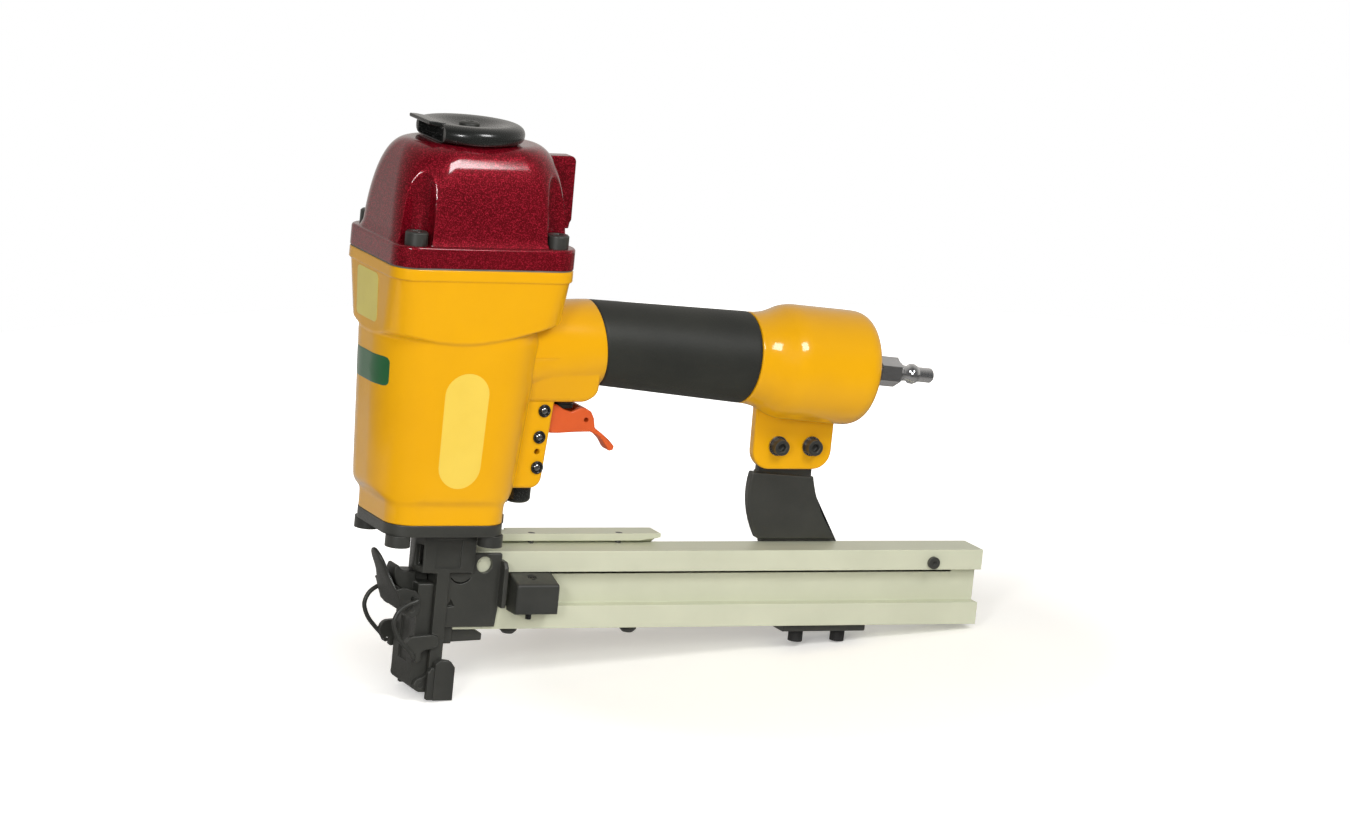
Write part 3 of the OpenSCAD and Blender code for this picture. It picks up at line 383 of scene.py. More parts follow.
def fused(base, others, cutters=()):
    """The base joined with the other closed shapes, less the cutters, by exact Booleans."""
    for other, way in [(o, "UNION") for o in others] + [(c, "DIFFERENCE") for c in cutters]:
        step = base.modifiers.new(way.lower(), "BOOLEAN")
        step.operation = way
        step.solver = "EXACT"
        step.object = other
    settled(base)
    for other in [*others, *cutters]:
        bpy.data.objects.remove(other)
    return base


def plate(name, outline, low, high, across="y"):
    """A flat outline drawn out between two places: (x, z) along Y, (x, y) along Z or (y, z) along X."""
    flat = np.asarray(outline, float)
    ends = np.array([low, high])[:, None] + 0 * flat[None, :, 0]
    first = np.broadcast_to(flat[:, 0], ends.shape)
    second = np.broadcast_to(flat[:, 1], ends.shape)
    spots = {"y": [first, ends, second], "z": [first, second, ends], "x": [ends, first, second]}[across]
    return lofted(name, np.stack(spots, axis=-1))


def arc(centre, radius, start, end, steps=10):
    """Points on a circle from one angle to another, in degrees."""
    angle = np.radians(np.linspace(start, end, steps))
    return np.stack([centre[0] + radius * np.cos(angle), centre[1] + radius * np.sin(angle)], axis=-1)


def rectangle(low_x, high_x, low, high):
    """The four corners of a rectangle, in turn."""
    return [[low_x, low], [high_x, low], [high_x, high], [low_x, high]]


handle_x, handle_z = 79.0, 184.4
handle_slope = math.radians(4.4)
grip_slant = math.radians(16.2)
grip_front_r, grip_rear_r, grip_l = 21.9, 24.1, 88.0
bell_r, bell_end = 30.3, 158.8


def on_handle(along, turn, radius):
    """Points round the handle's axis, which runs back and down: along it, turned about it, out from it.

    Turn 0 is up, and a quarter turn is the far side."""
    up = radius * np.cos(turn)
    side = radius * np.sin(turn)
    x = handle_x + along * math.cos(handle_slope) + up * math.sin(handle_slope)
    z = handle_z - along * math.sin(handle_slope) + up * math.cos(handle_slope)
    return np.stack(np.broadcast_arrays(x, side, z), axis=-1)


def slant_along(turn, radius):
    """How far along the handle its surface meets the slanted plane where the grip begins."""
    lean = math.tan(grip_slant - handle_slope)
    return -radius * np.cos(turn) * lean


def smooth_profile(points, steps):
    """A smooth curve through a few points.

    Its cubic pieces take as slope at each point half of the way between the two neighbours."""
    spots = np.asarray(points, float)
    slopes = np.gradient(spots, axis=0)
    place = np.linspace(0, len(spots) - 1, steps)
    piece = np.minimum(place.astype(int), len(spots) - 2)
    t = (place - piece)[:, None]
    start, end = spots[piece], spots[piece + 1]
    leave, arrive = slopes[piece], slopes[piece + 1]
    return (
        (2 * t**3 - 3 * t**2 + 1) * start
        + (t**3 - 2 * t**2 + t) * leave
        + (3 * t**2 - 2 * t**3) * end
        + (t**3 - t**2) * arrive
    )


turns = ring_turns(288)
heights = np.concatenate(
    [
        body_low_z + np.array([0, 0.1, 0.25, 0.5, 0.8]),
        np.linspace(95, 122, 46),
        np.linspace(123, 180, 30),
        np.linspace(181, 220.4, 64),
        lip_z + np.array([-0.45, -0.2, 0.0, 0.05, 0.2, 0.5]),
        body_top_z - np.array([2, 0.6, 0.35, 0.15, 0]),
    ]
)[:, None]
shell_round, lip_chamfer = 0.6, 0.5
shell = barrel_radius(turns, heights) - edge_inset(heights, body_low_z, body_top_z, shell_round)
shell = shell - np.where(heights > lip_z, np.clip(lip_chamfer - (heights - lip_z), 0, lip_chamfer), 0)
body_shape = lofted("body_shell", around_drive(turns, heights, shell))

# Neck: a loft from a rounded rectangle inside the barrel to the slanted front of the grip.
neck_turn = ring_turns(112)
root_x, root_z, root_size, root_corner = 18.0, 181.5, 50.0, 17.0
waist = 0.06
root_reach = reach(neck_turn, root_size + 0 * neck_turn, root_size, root_corner, 0.0)
root_y = root_reach * np.sin(neck_turn)
root = np.stack(np.broadcast_arrays(root_x, root_y, root_z + root_reach * np.cos(neck_turn)), axis=-1)[0]
front = on_handle(slant_along(neck_turn, grip_front_r), neck_turn, grip_front_r)[0]
way = np.linspace(0, 1, 40)[:, None, None]
flare = 1 - waist * np.sin(np.pi * way) ** 2
neck_points = (1 - way) * root + way * front
neck_middle = neck_points.mean(axis=1, keepdims=True)
neck_points = neck_middle + (neck_points - neck_middle) * flare
neck_shape = lofted("neck", neck_points)

# Below it a lip carries the neck's sides down to the valve block; its rear end curves up to the grip.
lip_front, lip_bend, lip_end = 24.0, 70.0, 79.4
lip_bend_z, lip_bend_r, lip_top, lip_round = 166.0, 10.6, 180.0, 2.6
lip_half_w, lip_slope_z, lip_slope_h = 15.4, 157.0, 15.6
lip_along = np.concatenate([np.linspace(lip_front, 69, 10), np.linspace(lip_bend, lip_end, 20)])[:, None]
lip_low = lip_bend_z - np.sqrt(lip_bend_r**2 - np.clip(lip_along - lip_bend, 0, None) ** 2)
lip_up = lip_low + (lip_top - lip_low) * np.linspace(0, 1, 24)[None, :] ** 1.5
lip_spread = 6.3 - 4.1 * (lip_along - lip_front) / 62
lip_half = lip_half_w + lip_spread * np.clip(lip_up - lip_slope_z, 0, None) / lip_slope_h
lip_half = lip_half - edge_inset(lip_up, lip_low, 2 * lip_top, lip_round)
lip_half = lip_half - edge_inset(lip_along, 0, lip_end, lip_round)
lip_side = np.stack(np.broadcast_arrays(lip_along, lip_half, lip_up), axis=-1)
lip_points = np.concatenate([lip_side, lip_side[:, ::-1] * np.array([1, -1, 1])], axis=1)
neck_lip = lofted("neck_lip", lip_points)

block_outline = np.concatenate(
    [[[18, 110]], arc((46.4, 116.2), 6.2, -90, -4, 9), [[56, 157], [56, 166], [18, 166]]]
)
block_shape = settled(eased(plate("valve_block", block_outline, -14, 14), 1.6, 3))

core_along = np.array([-14.0, 92.0])[:, None]
core_r = np.array([18.4, 20.6])[:, None]
core_shape = lofted("handle_core", on_handle(core_along, ring_turns(64), core_r))
bell_profile = smooth_profile(
    [
        [88.4, 22.6], [88.5, 23.6], [89.2, 24.05], [93, 24.3], [98, 25.2], [103, 27.0], [108, 29.2],
        [113, 30.2], [119, bell_r], [132, bell_r], [147, bell_r], [152.4, 29.9], [156, 28.2],
        [157.9, 25.4], [158.6, 22.4], [bell_end, 19.3],
    ],
    72,
)
bell_shape = lofted("bell", on_handle(bell_profile[:, :1], ring_turns(128), bell_profile[:, 1:]))

lug_outline = np.concatenate(
    [[[179.8, 160]], arc((190.4, 127), 10, 180, 270, 8), arc((216.5, 127), 10, 270, 360, 8), [[226.5, 160]]]
)
lug_shape = settled(eased(plate("stay_lug", lug_outline, 2.0, 7.6), 0.9, 3))

trigger_slot = plate("trigger_slot", rectangle(40.5, 91.5, 131.5, 160.5), -9.3, 9.3)
small_hole = plate("small_hole", arc((48.4, 129.4), 1.5, 0, 345, 24), -15, -6)
body_parts = [neck_shape, neck_lip, block_shape, core_shape, bell_shape, lug_shape]
fused(body_shape, body_parts, [trigger_slot, small_hole])


def smooth(made, angle=34):
    """Smooth shading with a crease wherever two faces meet at more than the angle.

    Corner normals are weighted by the size of their faces, so flat faces stay flat beside eased edges."""
    made.data.shade_smooth()
    made.data.set_sharp_from_angle(angle=math.radians(angle))
    made.modifiers.clear()
    even = made.modifiers.new("even_shading", "WEIGHTED_NORMAL")
    even.keep_sharp = True
    return made


smooth(body_shape)


def float_socket(group, name, way, start=0.0):
    """A number socket on a node group."""
    made = group.interface.new_socket(name, in_out=way, socket_type="NodeSocketFloat")
    if way == "INPUT":
        made.default_value = start
    return made


# Shared effect: soft blotches and fine grain, two noises read on the piece's own coordinates.
surface_life = bpy.data.node_groups.new("surface_life", "ShaderNodeTree")
float_socket(surface_life, "Blotch Scale", "INPUT", 20)
float_socket(surface_life, "Grain Scale", "INPUT", 900)
float_socket(surface_life, "Blotch", "OUTPUT")
float_socket(surface_life, "Grain", "OUTPUT")
tree = surface_life
inlet = tree.nodes.new("NodeGroupInput")
outlet = tree.nodes.new("NodeGroupOutput")
for scale_name, result_name, depth in [("Blotch Scale", "Blotch", 3.0), ("Grain Scale", "Grain", 2.0)]:
    scale = inlet.outputs[scale_name]
    noise = node_in(tree, "TexNoise", own_place(tree), Scale=scale, Detail=depth, Roughness=0.55)
    tree.links.new(noise.outputs["Fac"], outlet.inputs[result_name])

# Shared effect: a mask of the outer edges, where a rounded normal turns away from the true one.
edge_rub = bpy.data.node_groups.new("edge_rub", "ShaderNodeTree")
float_socket(edge_rub, "Width", "INPUT", 0.8 * mm)
float_socket(edge_rub, "Edge", "OUTPUT")
tree = edge_rub
inlet = tree.nodes.new("NodeGroupInput")
outlet = tree.nodes.new("NodeGroupOutput")
rounded = node_in(tree, "Bevel", samples=4, Radius=inlet.outputs["Width"])
true_normal = node_in(tree, "NewGeometry")
normals = rounded.outputs["Normal"], true_normal.outputs["Normal"]
match = worked(tree, "VectorMath", "DOT_PRODUCT", *normals)
turned = ranged(tree, match, low=0, high=1, start=0.995, end=0.86)
patchy = node_in(tree, "TexNoise", own_place(tree), Scale=260.0, Detail=4.0)
broken = worked(tree, "Math", "MULTIPLY", turned, patchy.outputs["Fac"])
tree.links.new(broken, outlet.inputs["Edge"])


def finish_of(name, light, dark, worn, **values):
    """A finish with its tree, shader and noises.

    The colour runs from light to dark by the blotches, and to the worn colour along the edges;
    the roughness runs between two values by the grain, and the grain also raises the surface."""
    made = bpy.data.materials.new(name)
    made.use_nodes = True
    tree = made.node_tree
    shader = tree.nodes["Principled BSDF"]
    scales = dict(Blotch_Scale=values["blotch"], Grain_Scale=values["grain"])
    life = node_in(tree, "Group", node_tree=surface_life, **scales)
    tint = mixed(tree, ranged(tree, life.outputs["Blotch"], 0, 1, 0.3, 0.7), (*light, 1), (*dark, 1))
    if worn is not None:
        rub = node_in(tree, "Group", node_tree=edge_rub, Width=values["edge"] * mm)
        tint = mixed(tree, ranged(tree, rub.outputs["Edge"], 0, values["wear"]), tint, (*worn, 1))
    tree.links.new(tint, shader.inputs["Base Color"])
    rough = ranged(tree, life.outputs["Grain"], *values["rough"], 0.3, 0.7)
    tree.links.new(rough, shader.inputs["Roughness"])
    bump = node_in(tree, "Bump", Strength=values["bump"], Distance=values["depth"] * mm)
    tree.links.new(life.outputs["Grain"], bump.inputs["Height"])
    if values.get("round_edges"):
        rounded = node_in(tree, "Bevel", samples=6, Radius=values["round_edges"] * mm)
        tree.links.new(rounded.outputs["Normal"], bump.inputs["Normal"])
    tree.links.new(bump.outputs["Normal"], shader.inputs["Normal"])
    for socket, key, plain in [
        ("Metallic", "metallic", 0.0), ("Specular IOR Level", "shine", 0.5),
        ("Coat Weight", "coat", 0.0), ("Coat Roughness", "coat_rough", 0.05),
    ]:
        shader.inputs[socket].default_value = values.get(key, plain)
    return made, tree, shader, life, bump


yellow_enamel, *_ = finish_of(
    "yellow_enamel", (0.75, 0.37, 0.001), (0.7, 0.338, 0.001), (0.82, 0.42, 0.02),
    blotch=14, grain=420, rough=(0.3, 0.38), bump=0.12, depth=0.12, shine=0.12,
    coat=0.8, coat_rough=0.09, edge=0.8, wear=0.35, round_edges=1.4,
)


def add_piece(made, material, body, slot_name, *nodes):
    """Gives a piece its finish and the body it rides on, and hides the CAD nodes it stands for; the slot name
    is not used.
    """
    made.data.materials.clear()
    made.data.materials.append(material)
    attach(made, body)
    if nodes:
        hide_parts(*nodes)
    return made


add_piece(body_shape, yellow_enamel, "tool", "yellow_paint", "body")

# Blank stickers on the body: a pale yellow oval on the near side, a square one on the collar's front
# and a green one below it. They are printed film, 0.15 mm thick, laid on the enamel and left bare.
sticker_t = 0.15


def body_sticker(name, turn, height, wide, tall, corner):
    """A rounded rectangle laid on the body's skin.

    Rings of the flat outline are carried to turn and height, and lifted off the skin by the film's thickness;
    the outermost ring sinks into the enamel, which closes the edge."""
    share = np.array([1.0, 1.0, 0.97, 0.8, 0.6, 0.4, 0.2, 0.04])[:, None]
    lift = np.array([-0.3, 0.6, 1, 1, 1, 1, 1, 1])[:, None] * sticker_t
    angle = ring_turns(96)
    outline = reach(angle, wide + 0 * angle, tall, corner, 0.0)
    across = share * outline * np.cos(angle)
    rise = share * outline * np.sin(angle)
    level = height + rise
    middle_r = barrel_radius(np.array([[turn]]), np.array([[height]]))[0, 0]
    heading = turn + across / middle_r
    skin = barrel_radius(heading, level)
    return smooth(lofted(name, around_drive(heading, level, skin + lift)), 60)


film_look = dict(
    blotch=40, grain=1500, rough=(0.28, 0.36), bump=0.05, depth=0.05,
    coat=0.5, edge=0.4, wear=0.2,
)
yellow_film, *_ = finish_of(
    "yellow_film", (0.8, 0.57, 0.075), (0.76, 0.53, 0.065), (0.84, 0.56, 0.08), **film_look
)
lime_film, *_ = finish_of(
    "lime_film", (0.7, 0.6, 0.095), (0.65, 0.54, 0.08), (0.75, 0.66, 0.2), **film_look
)
green_film, *_ = finish_of(
    "green_film", (0.011, 0.115, 0.034), (0.009, 0.1, 0.03), (0.05, 0.17, 0.08), **film_look
)
near_side = -math.pi / 2 - 0.045
front_side = math.pi
for name, film, turn, height, wide, tall, corner in [
    ("oval_sticker", yellow_film, near_side, 143.6, 22.5, 60.0, 11.2),
    ("collar_sticker", lime_film, front_side - 0.06, 207.2, 27.0, 25.0, 3.0),
    ("front_sticker", green_film, front_side + 0.07, 171.5, 37.0, 15.0, 3.0),
]:
    add_piece(body_sticker(name, turn, height, wide, tall, corner), film, "tool", "yellow_paint")


# The gasket: a thin fibre sheet between the body and the cap, cut to the collar's outline.
# It is clamped by the cap screws and shows as a grey line.
def finish_nodes(material, *nodes):
    """Gives CAD pieces that keep their own mesh a finish."""
    for node in nodes:
        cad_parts[node].data.materials.clear()
        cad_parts[node].data.materials.append(material)


grey_fibre, *_ = finish_of(
    "grey_fibre", (0.16, 0.15, 0.14), (0.1, 0.1, 0.09), None,
    blotch=60, grain=2500, rough=(0.7, 0.9), bump=0.4, depth=0.1,
)
finish_nodes(grey_fibre, "gasket")

# The cap: a domed casting with a flange, a flute above each screw and a fin at the rear.
# It is cast in light alloy and finished in clear-coated maroon with a fine metal flake.
cap_low_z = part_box("cap")[0].z / mm
cap_top_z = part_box("cap")[1].z / mm
flange_top_z = cap_low_z + 10.6
dome_bend = 2.6
dome_corner, dome_step, dome_lean, dome_crown = 18, 5, 4, 27
flange_round, foot_r, flute_brim = 1.4, 2.0, 0.9
cap_screw_x, cap_screw_y = 38.6, 30.3
flute_r, flute_bend_z, flute_rise = 8.0, 252.0, 32.0


def dome_radius(turn, height, inset):
    """Distance of the dome's skin from the drive axis.

    The section is the flange's rounded rectangle drawn in by the inset. The four flutes are the near walls
    of upright rods whose tops narrow as a half ellipse, taken off with a rounded brim."""
    rise = np.clip((height - flange_top_z) / (cap_top_z - flange_top_z), 0, 1)
    skin = reach(turn, flange_l - inset, flange_w - 1 - inset, dome_corner + 5 * rise, flange_x)
    narrowing = np.clip((height - flute_bend_z) / flute_rise, 0, 1)
    flute = flute_r * np.sqrt(1 - narrowing**2)
    for side_x in (-1, 1):
        for side_y in (-1, 1):
            screw = np.array([flange_x + side_x * cap_screw_x, side_y * cap_screw_y])
            along = screw[0] * np.cos(turn) + screw[1] * np.sin(turn)
            room = flute**2 - (screw @ screw - along**2)
            wall = np.where((room > 0) & (along > 0), along - np.sqrt(np.clip(room, 0, None)), 1000)
            skin = soft_min(skin, wall, flute_brim)
    return skin


turns = ring_turns(360)
flange_heights = np.concatenate(
    [
        cap_low_z + np.array([0, 0.1, 0.3, 0.6]),
        np.linspace(cap_low_z + 2, flange_top_z - 2, 6),
        flange_top_z - np.array([1.4, 0.95, 0.6, 0.3, 0.1, 0.0]),
    ]
)[:, None]
flange_skin = reach(turns, flange_l + 0 * flange_heights, flange_w, flange_r, flange_x)
flange_skin = flange_skin - edge_inset(flange_heights, cap_low_z - 1, flange_top_z, flange_round)
flange_rows = around_drive(turns, flange_heights, flange_skin)
bend = np.radians(np.concatenate([np.linspace(0, 60, 40), np.linspace(62, 89.5, 40)]))[:, None]
dome_rise = np.sin(bend) ** (2 / dome_bend)
dome_heights = flange_top_z + 0.1 + (cap_top_z - flange_top_z - 0.1) * dome_rise
foot_fillet = foot_r * np.clip(1 - (dome_heights - flange_top_z) / foot_r, 0, 1) ** 2
dome_draw = dome_crown * (1 - np.cos(bend) ** (2 / dome_bend))
dome_inset = dome_step + dome_lean * dome_rise + dome_draw - foot_fillet
dome_rows = around_drive(turns, dome_heights, dome_radius(turns, dome_heights, dome_inset))
crown = dome_rows[-1]
crown_middle = np.array([flange_x, 0, cap_top_z])
crown_rows = crown_middle + (crown - crown_middle) * np.array([0.8, 0.5, 0.2])[:, None, None]
cap_rows = np.concatenate([flange_rows, dome_rows, crown_rows])
cap_shape = lofted("cap_dome", cap_rows)

fin_outline = np.concatenate(
    [
        [[34, 244], [58.5, 244]],
        arc((57.4, 249), 2.4, -50, 0, 5),
        arc((56.2, 278.2), 3.2, 4, 86, 7),
        [[34, 281.4]],
    ]
)
cap_fin = settled(eased(plate("cap_fin", fin_outline, -4, 4), 1.4, 4))
fused(cap_shape, [cap_fin])
smooth(cap_shape, 40)

maroon_flake, tree, shader, *_ = finish_of(
    "maroon_flake", (0.145, 0.001, 0.0062), (0.112, 0.0008, 0.0046), None,
    blotch=18, grain=500, rough=(0.36, 0.46), bump=0.05, depth=0.05,
    metallic=0.4, shine=0.1, coat=1.0, coat_rough=0.09, round_edges=1.2,
)
flakes = node_in(tree, "TexVoronoi", own_place(tree), Scale=2500.0)
flake_pick = node_in(tree, "SeparateColor", flakes.outputs["Color"])
flake_mask = ranged(tree, flake_pick.outputs["Red"], 0, 1, 0.55, 1.0)
base_tint = shader.inputs["Base Color"].links[0].from_socket
tree.links.new(mixed(tree, flake_mask, base_tint, (0.42, 0.012, 0.032, 1)), shader.inputs["Base Color"])
add_piece(cap_shape, maroon_flake, "tool", "maroon_paint", "cap")


# The cap screws: four black socket-head screws that clamp the cap, gasket and body.
# They are turned and rolled from alloy steel, and blacked.
def machined(node, ease, angle=35, segments=2, crease=38, cutters=()):
    """A copy of a CAD piece with its triangles merged, its flat faces made whole and its edges eased.

    Cutters are taken out of it before the edges are eased."""
    work = bmesh.new()
    work.from_mesh(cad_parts[node].data)
    bmesh.ops.remove_doubles(work, verts=work.verts, dist=2e-6)
    if cutters:
        mesh = bpy.data.meshes.new(node + "_cut")
        work.to_mesh(mesh)
        cut = fused(shape_object(node + "_cut", mesh), [], cutters)
        work.clear()
        work.from_mesh(cut.data)
        bpy.data.objects.remove(cut)
    bmesh.ops.dissolve_limit(work, angle_limit=math.radians(0.6), verts=work.verts, edges=work.edges)
    if ease:
        sharp = [e for e in work.edges if e.calc_face_angle(0) > math.radians(angle)]
        tight = {v for e in sharp if e.calc_length() < 2.3 * ease * mm for v in e.verts}
        long = [e for e in sharp if not tight.intersection(e.verts)]
        bmesh.ops.bevel(work, geom=long, offset=ease * mm, segments=segments, profile=0.5, affect="EDGES")
    mesh = bpy.data.meshes.new(node + "_eased")
    work.to_mesh(mesh)
    work.free()
    made = bpy.data.objects.new(node + "_eased", mesh)
    bpy.context.scene.collection.objects.link(made)
    return smooth(made, crease)


def add_machined(node, material, slot_name, *easing, body="tool", cutters=()):
    """Adds the eased copy of a CAD piece, which stands for that piece."""
    return add_piece(machined(node, *easing, cutters=cutters), material, body, slot_name, node)


black_oxide, *_ = finish_of(
    "black_oxide", (0.046, 0.047, 0.041), (0.032, 0.033, 0.029), (0.14, 0.14, 0.125),
    blotch=55, grain=1400, rough=(0.34, 0.5), bump=0.15, depth=0.05,
    metallic=0.25, shine=1.0, edge=0.6, wear=0.6, round_edges=0.6,
)
add_machined("cap_screws", black_oxide, "black_steel", 0.45)

# The exhaust deflector: a dished disc on top of the cap with a visor over its outlet.
# It is moulded in gloss black plastic, held by one screw, and turns by hand.
deflector_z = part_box("deflector")[0].z / mm
deflector_profile = smooth_profile(
    [
        [0.01, 0], [12, 0], [23, 0], [26.4, 0.5], [28.0, 2.0], [28.5, 4.2], [28.2, 6.2], [27.0, 7.9],
        [24.6, 9.1], [21.6, 9.35], [17.5, 8.9], [12.5, 7.6], [9, 6.7], [7, 6.25], [6.4, 6.2], [3, 6.2],
        [0.01, 6.2],
    ],
    90,
)
disc_rows = around_drive(ring_turns(144), deflector_z + deflector_profile[:, 1:], deflector_profile[:, :1])
deflector_shape = lofted("deflector_disc", disc_rows)
visor_outline = [[-27.6, 8.7], [-27.6, 10.5], [-24, 10.3], [-19, 9.6], [-14, 8.3], [-19, 7.4], [-24, 7.9]]
visor_outline = np.array(visor_outline) + [0, deflector_z]
visor = settled(eased(plate("visor", visor_outline, -13.4, 13.4), 0.5, 3))
front_cut = plate("front_cut", rectangle(-40, -20.8, -30, 30), deflector_z - 1, deflector_z + 12, "z")
outlet = plate("outlet", rectangle(-40, -13, -16.4, 16.4), deflector_z + 0.5, deflector_z + 7.5, "z")
fused(deflector_shape, [], [front_cut])
fused(deflector_shape, [visor])
fused(deflector_shape, [], [outlet])
smooth(deflector_shape, 42)
gloss_black, *_ = finish_of(
    "gloss_black", (0.015, 0.0165, 0.015), (0.011, 0.012, 0.011), (0.06, 0.065, 0.06),
    blotch=40, grain=1800, rough=(0.2, 0.3), bump=0.06, depth=0.04, coat=0.3, edge=0.6, wear=0.4,
)
add_piece(deflector_shape, gloss_black, "deflector", "black_plastic", "deflector")
add_machined("deflector_screw", black_oxide, "black_steel", 0.3)

# The drive: a piston with a seal ring and a hardened blade, running in an alloy sleeve over a rubber bumper.
# A spring-loaded plastic valve closes the sleeve's top. All of it is inside the body.
# The other hidden springs and the magazine's end stop share its finishes.
satin_rubber, *_ = finish_of(
    "satin_rubber", (0.02, 0.02, 0.019), (0.014, 0.014, 0.014), (0.05, 0.05, 0.048),
    blotch=70, grain=1600, rough=(0.55, 0.7), bump=0.2, depth=0.06, edge=0.5, wear=0.3,
)
ground_steel, *_ = finish_of(
    "ground_steel", (0.56, 0.56, 0.55), (0.45, 0.45, 0.44), (0.7, 0.7, 0.69),
    blotch=90, grain=2200, rough=(0.18, 0.3), bump=0.1, depth=0.03,
    metallic=1.0, edge=0.3, wear=0.3,
)
turned_alloy, *_ = finish_of(
    "turned_alloy", (0.6, 0.61, 0.58), (0.5, 0.51, 0.48), (0.7, 0.71, 0.68),
    blotch=60, grain=1800, rough=(0.3, 0.42), bump=0.12, depth=0.04,
    metallic=0.9, edge=0.4, wear=0.3,
)
satin_black, *_ = finish_of(
    "satin_black", (0.038, 0.039, 0.035), (0.027, 0.028, 0.025), (0.1, 0.102, 0.094),
    blotch=45, grain=1300, rough=(0.4, 0.52), bump=0.16, depth=0.06, edge=0.7, wear=0.45,
    round_edges=0.8,
)
finish_nodes(turned_alloy, "sleeve", "piston")
finish_nodes(satin_rubber, "bumper", "piston_ring")
finish_nodes(ground_steel, "driver_blade", "head_valve_spring", "stem_spring", "arm_spring", "pusher_spring")
finish_nodes(satin_black, "head_valve", "end_stop")

# The grip: a thick rubber sleeve pushed over the handle core, with a slanted front edge.
# Its surface has a fine pebbled grain from the mould.
grip_turn = ring_turns(144)
grip_front_gap, grip_rear_gap = 0.15, 0.2
grip_edge_r, grip_edge_share = 1.1, 0.014
grip_bore_r, grip_bore_gain = 18.9, 2.1


def grip_rings(share, radius):
    """Rings of the sleeve, which run from its slanted front to its square rear by the share."""
    slant = slant_along(grip_turn, grip_front_r) * (1 - share)
    along = slant + share * (grip_l + grip_rear_gap) + grip_front_gap
    return on_handle(along, grip_turn, radius)


grip_share = np.concatenate(
    [[0.0, 0.004, 0.012, 0.025], np.linspace(0.05, 0.95, 60), [0.975, 0.988, 0.996, 1.0]]
)[:, None]
grip_end = np.minimum(grip_share, 1 - grip_share)
grip_round = grip_edge_r * np.clip(1 - grip_end / grip_edge_share, 0, 1) ** 2
grip_r = grip_front_r + (grip_rear_r - grip_front_r) * grip_share - grip_round
outer_rows = grip_rings(grip_share, grip_r)
bore_share = np.array([1.0, 0.0])[:, None]
bore_rows = grip_rings(bore_share, grip_bore_r + grip_bore_gain * bore_share)
grip_rows = np.concatenate([outer_rows, bore_rows, outer_rows[:1]])
grip_shape = shape_object("grip_sleeve", grid_mesh("grip_sleeve", tool(grip_rows), ends=False))
merge = bmesh.new()
merge.from_mesh(grip_shape.data)
bmesh.ops.remove_doubles(merge, verts=merge.verts, dist=1e-7)
bmesh.ops.recalc_face_normals(merge, faces=merge.faces)
merge.to_mesh(grip_shape.data)
merge.free()
smooth(grip_shape, 40)
pebbled_rubber, tree, _, life, bump = finish_of(
    "pebbled_rubber", (0.026, 0.027, 0.022), (0.019, 0.02, 0.017), None,
    blotch=30, grain=2600, rough=(0.45, 0.58), bump=0.5, depth=0.12, shine=0.4,
)
pebbles = node_in(tree, "TexVoronoi", own_place(tree), Scale=1150.0, feature="SMOOTH_F1")
grain, pebble = life.outputs["Grain"], pebbles.outputs["Distance"]
grain_share = 0.35
grain_mix = worked(tree, "Math", "MULTIPLY_ADD", grain, grain_share, pebble)
tree.links.new(grain_mix, bump.inputs["Height"])
add_piece(grip_shape, pebbled_rubber, "tool", "black_rubber", "grip")

# The rear end: a black cap screwed into the bell, and a stepped air plug with a hexagon.
# The plug is turned from steel bar and chromed.
add_machined("end_cap", satin_black, "black_plastic", 0.5)
bright_chrome, *_ = finish_of(
    "bright_chrome", (0.78, 0.78, 0.79), (0.7, 0.7, 0.71), (0.85, 0.85, 0.86),
    blotch=60, grain=1500, rough=(0.1, 0.16), bump=0.04, depth=0.02,
    metallic=0.95, edge=0.3, wear=0.2,
)
add_machined("air_plug", bright_chrome, "chrome", 0.3, 30, 3)

# The trigger and its valve: a curved finger lever on the top cross pin pushes the valve stem above it.
# The lever is moulded in orange plastic, and the valve in black plastic with a ribbed skirt.
orange_moulding, *_ = finish_of(
    "orange_moulding", (0.65, 0.098, 0.014), (0.58, 0.081, 0.012), (0.74, 0.17, 0.05),
    blotch=60, grain=1500, rough=(0.34, 0.46), bump=0.12, depth=0.05, edge=0.7, wear=0.4,
)
add_machined("trigger", orange_moulding, "orange_plastic", 0.9, 30, 3, body="trigger")
valve_shape = machined("valve_body", 0)
skirt_x, skirt_low, skirt_high = 66.0, 150.6, 156.4
skirt_r, rib_depth, rib_pitch = 5.75, 0.45, 1.45
stem_x, stem_bore_r = 67, 2.5
skirt_level = np.linspace(skirt_low, skirt_high, 60)[:, None]
skirt_ribs = skirt_r + rib_depth * np.cos(2 * np.pi * (skirt_level - skirt_low) / rib_pitch)
skirt_rows = around_drive(ring_turns(48), skirt_level, skirt_ribs) + np.array([skirt_x, 0, 0])
skirt = lofted("valve_skirt", skirt_rows)
bore_outline = arc((stem_x, 0), stem_bore_r, 0, 350, 36)
skirt_bore = plate("skirt_bore", bore_outline, skirt_low - 1, skirt_high + 1, "z")
fused(valve_shape, [skirt], [skirt_bore])
add_piece(smooth(valve_shape), satin_black, "tool", "black_plastic", "valve_body")
finish_nodes(ground_steel, "valve_stem")

# The cross pins: three steel pins through the valve block, each end held by a black rubber ring.
# The pins are ground with rounded ends, and the rings snap into grooves.
pin_places = [(50.2, 150.9), (48.7, 137.1), (49.0, 121.2)]
pin_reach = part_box("block_pins")[1].y / mm
ring_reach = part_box("pin_grommets")[1].y / mm


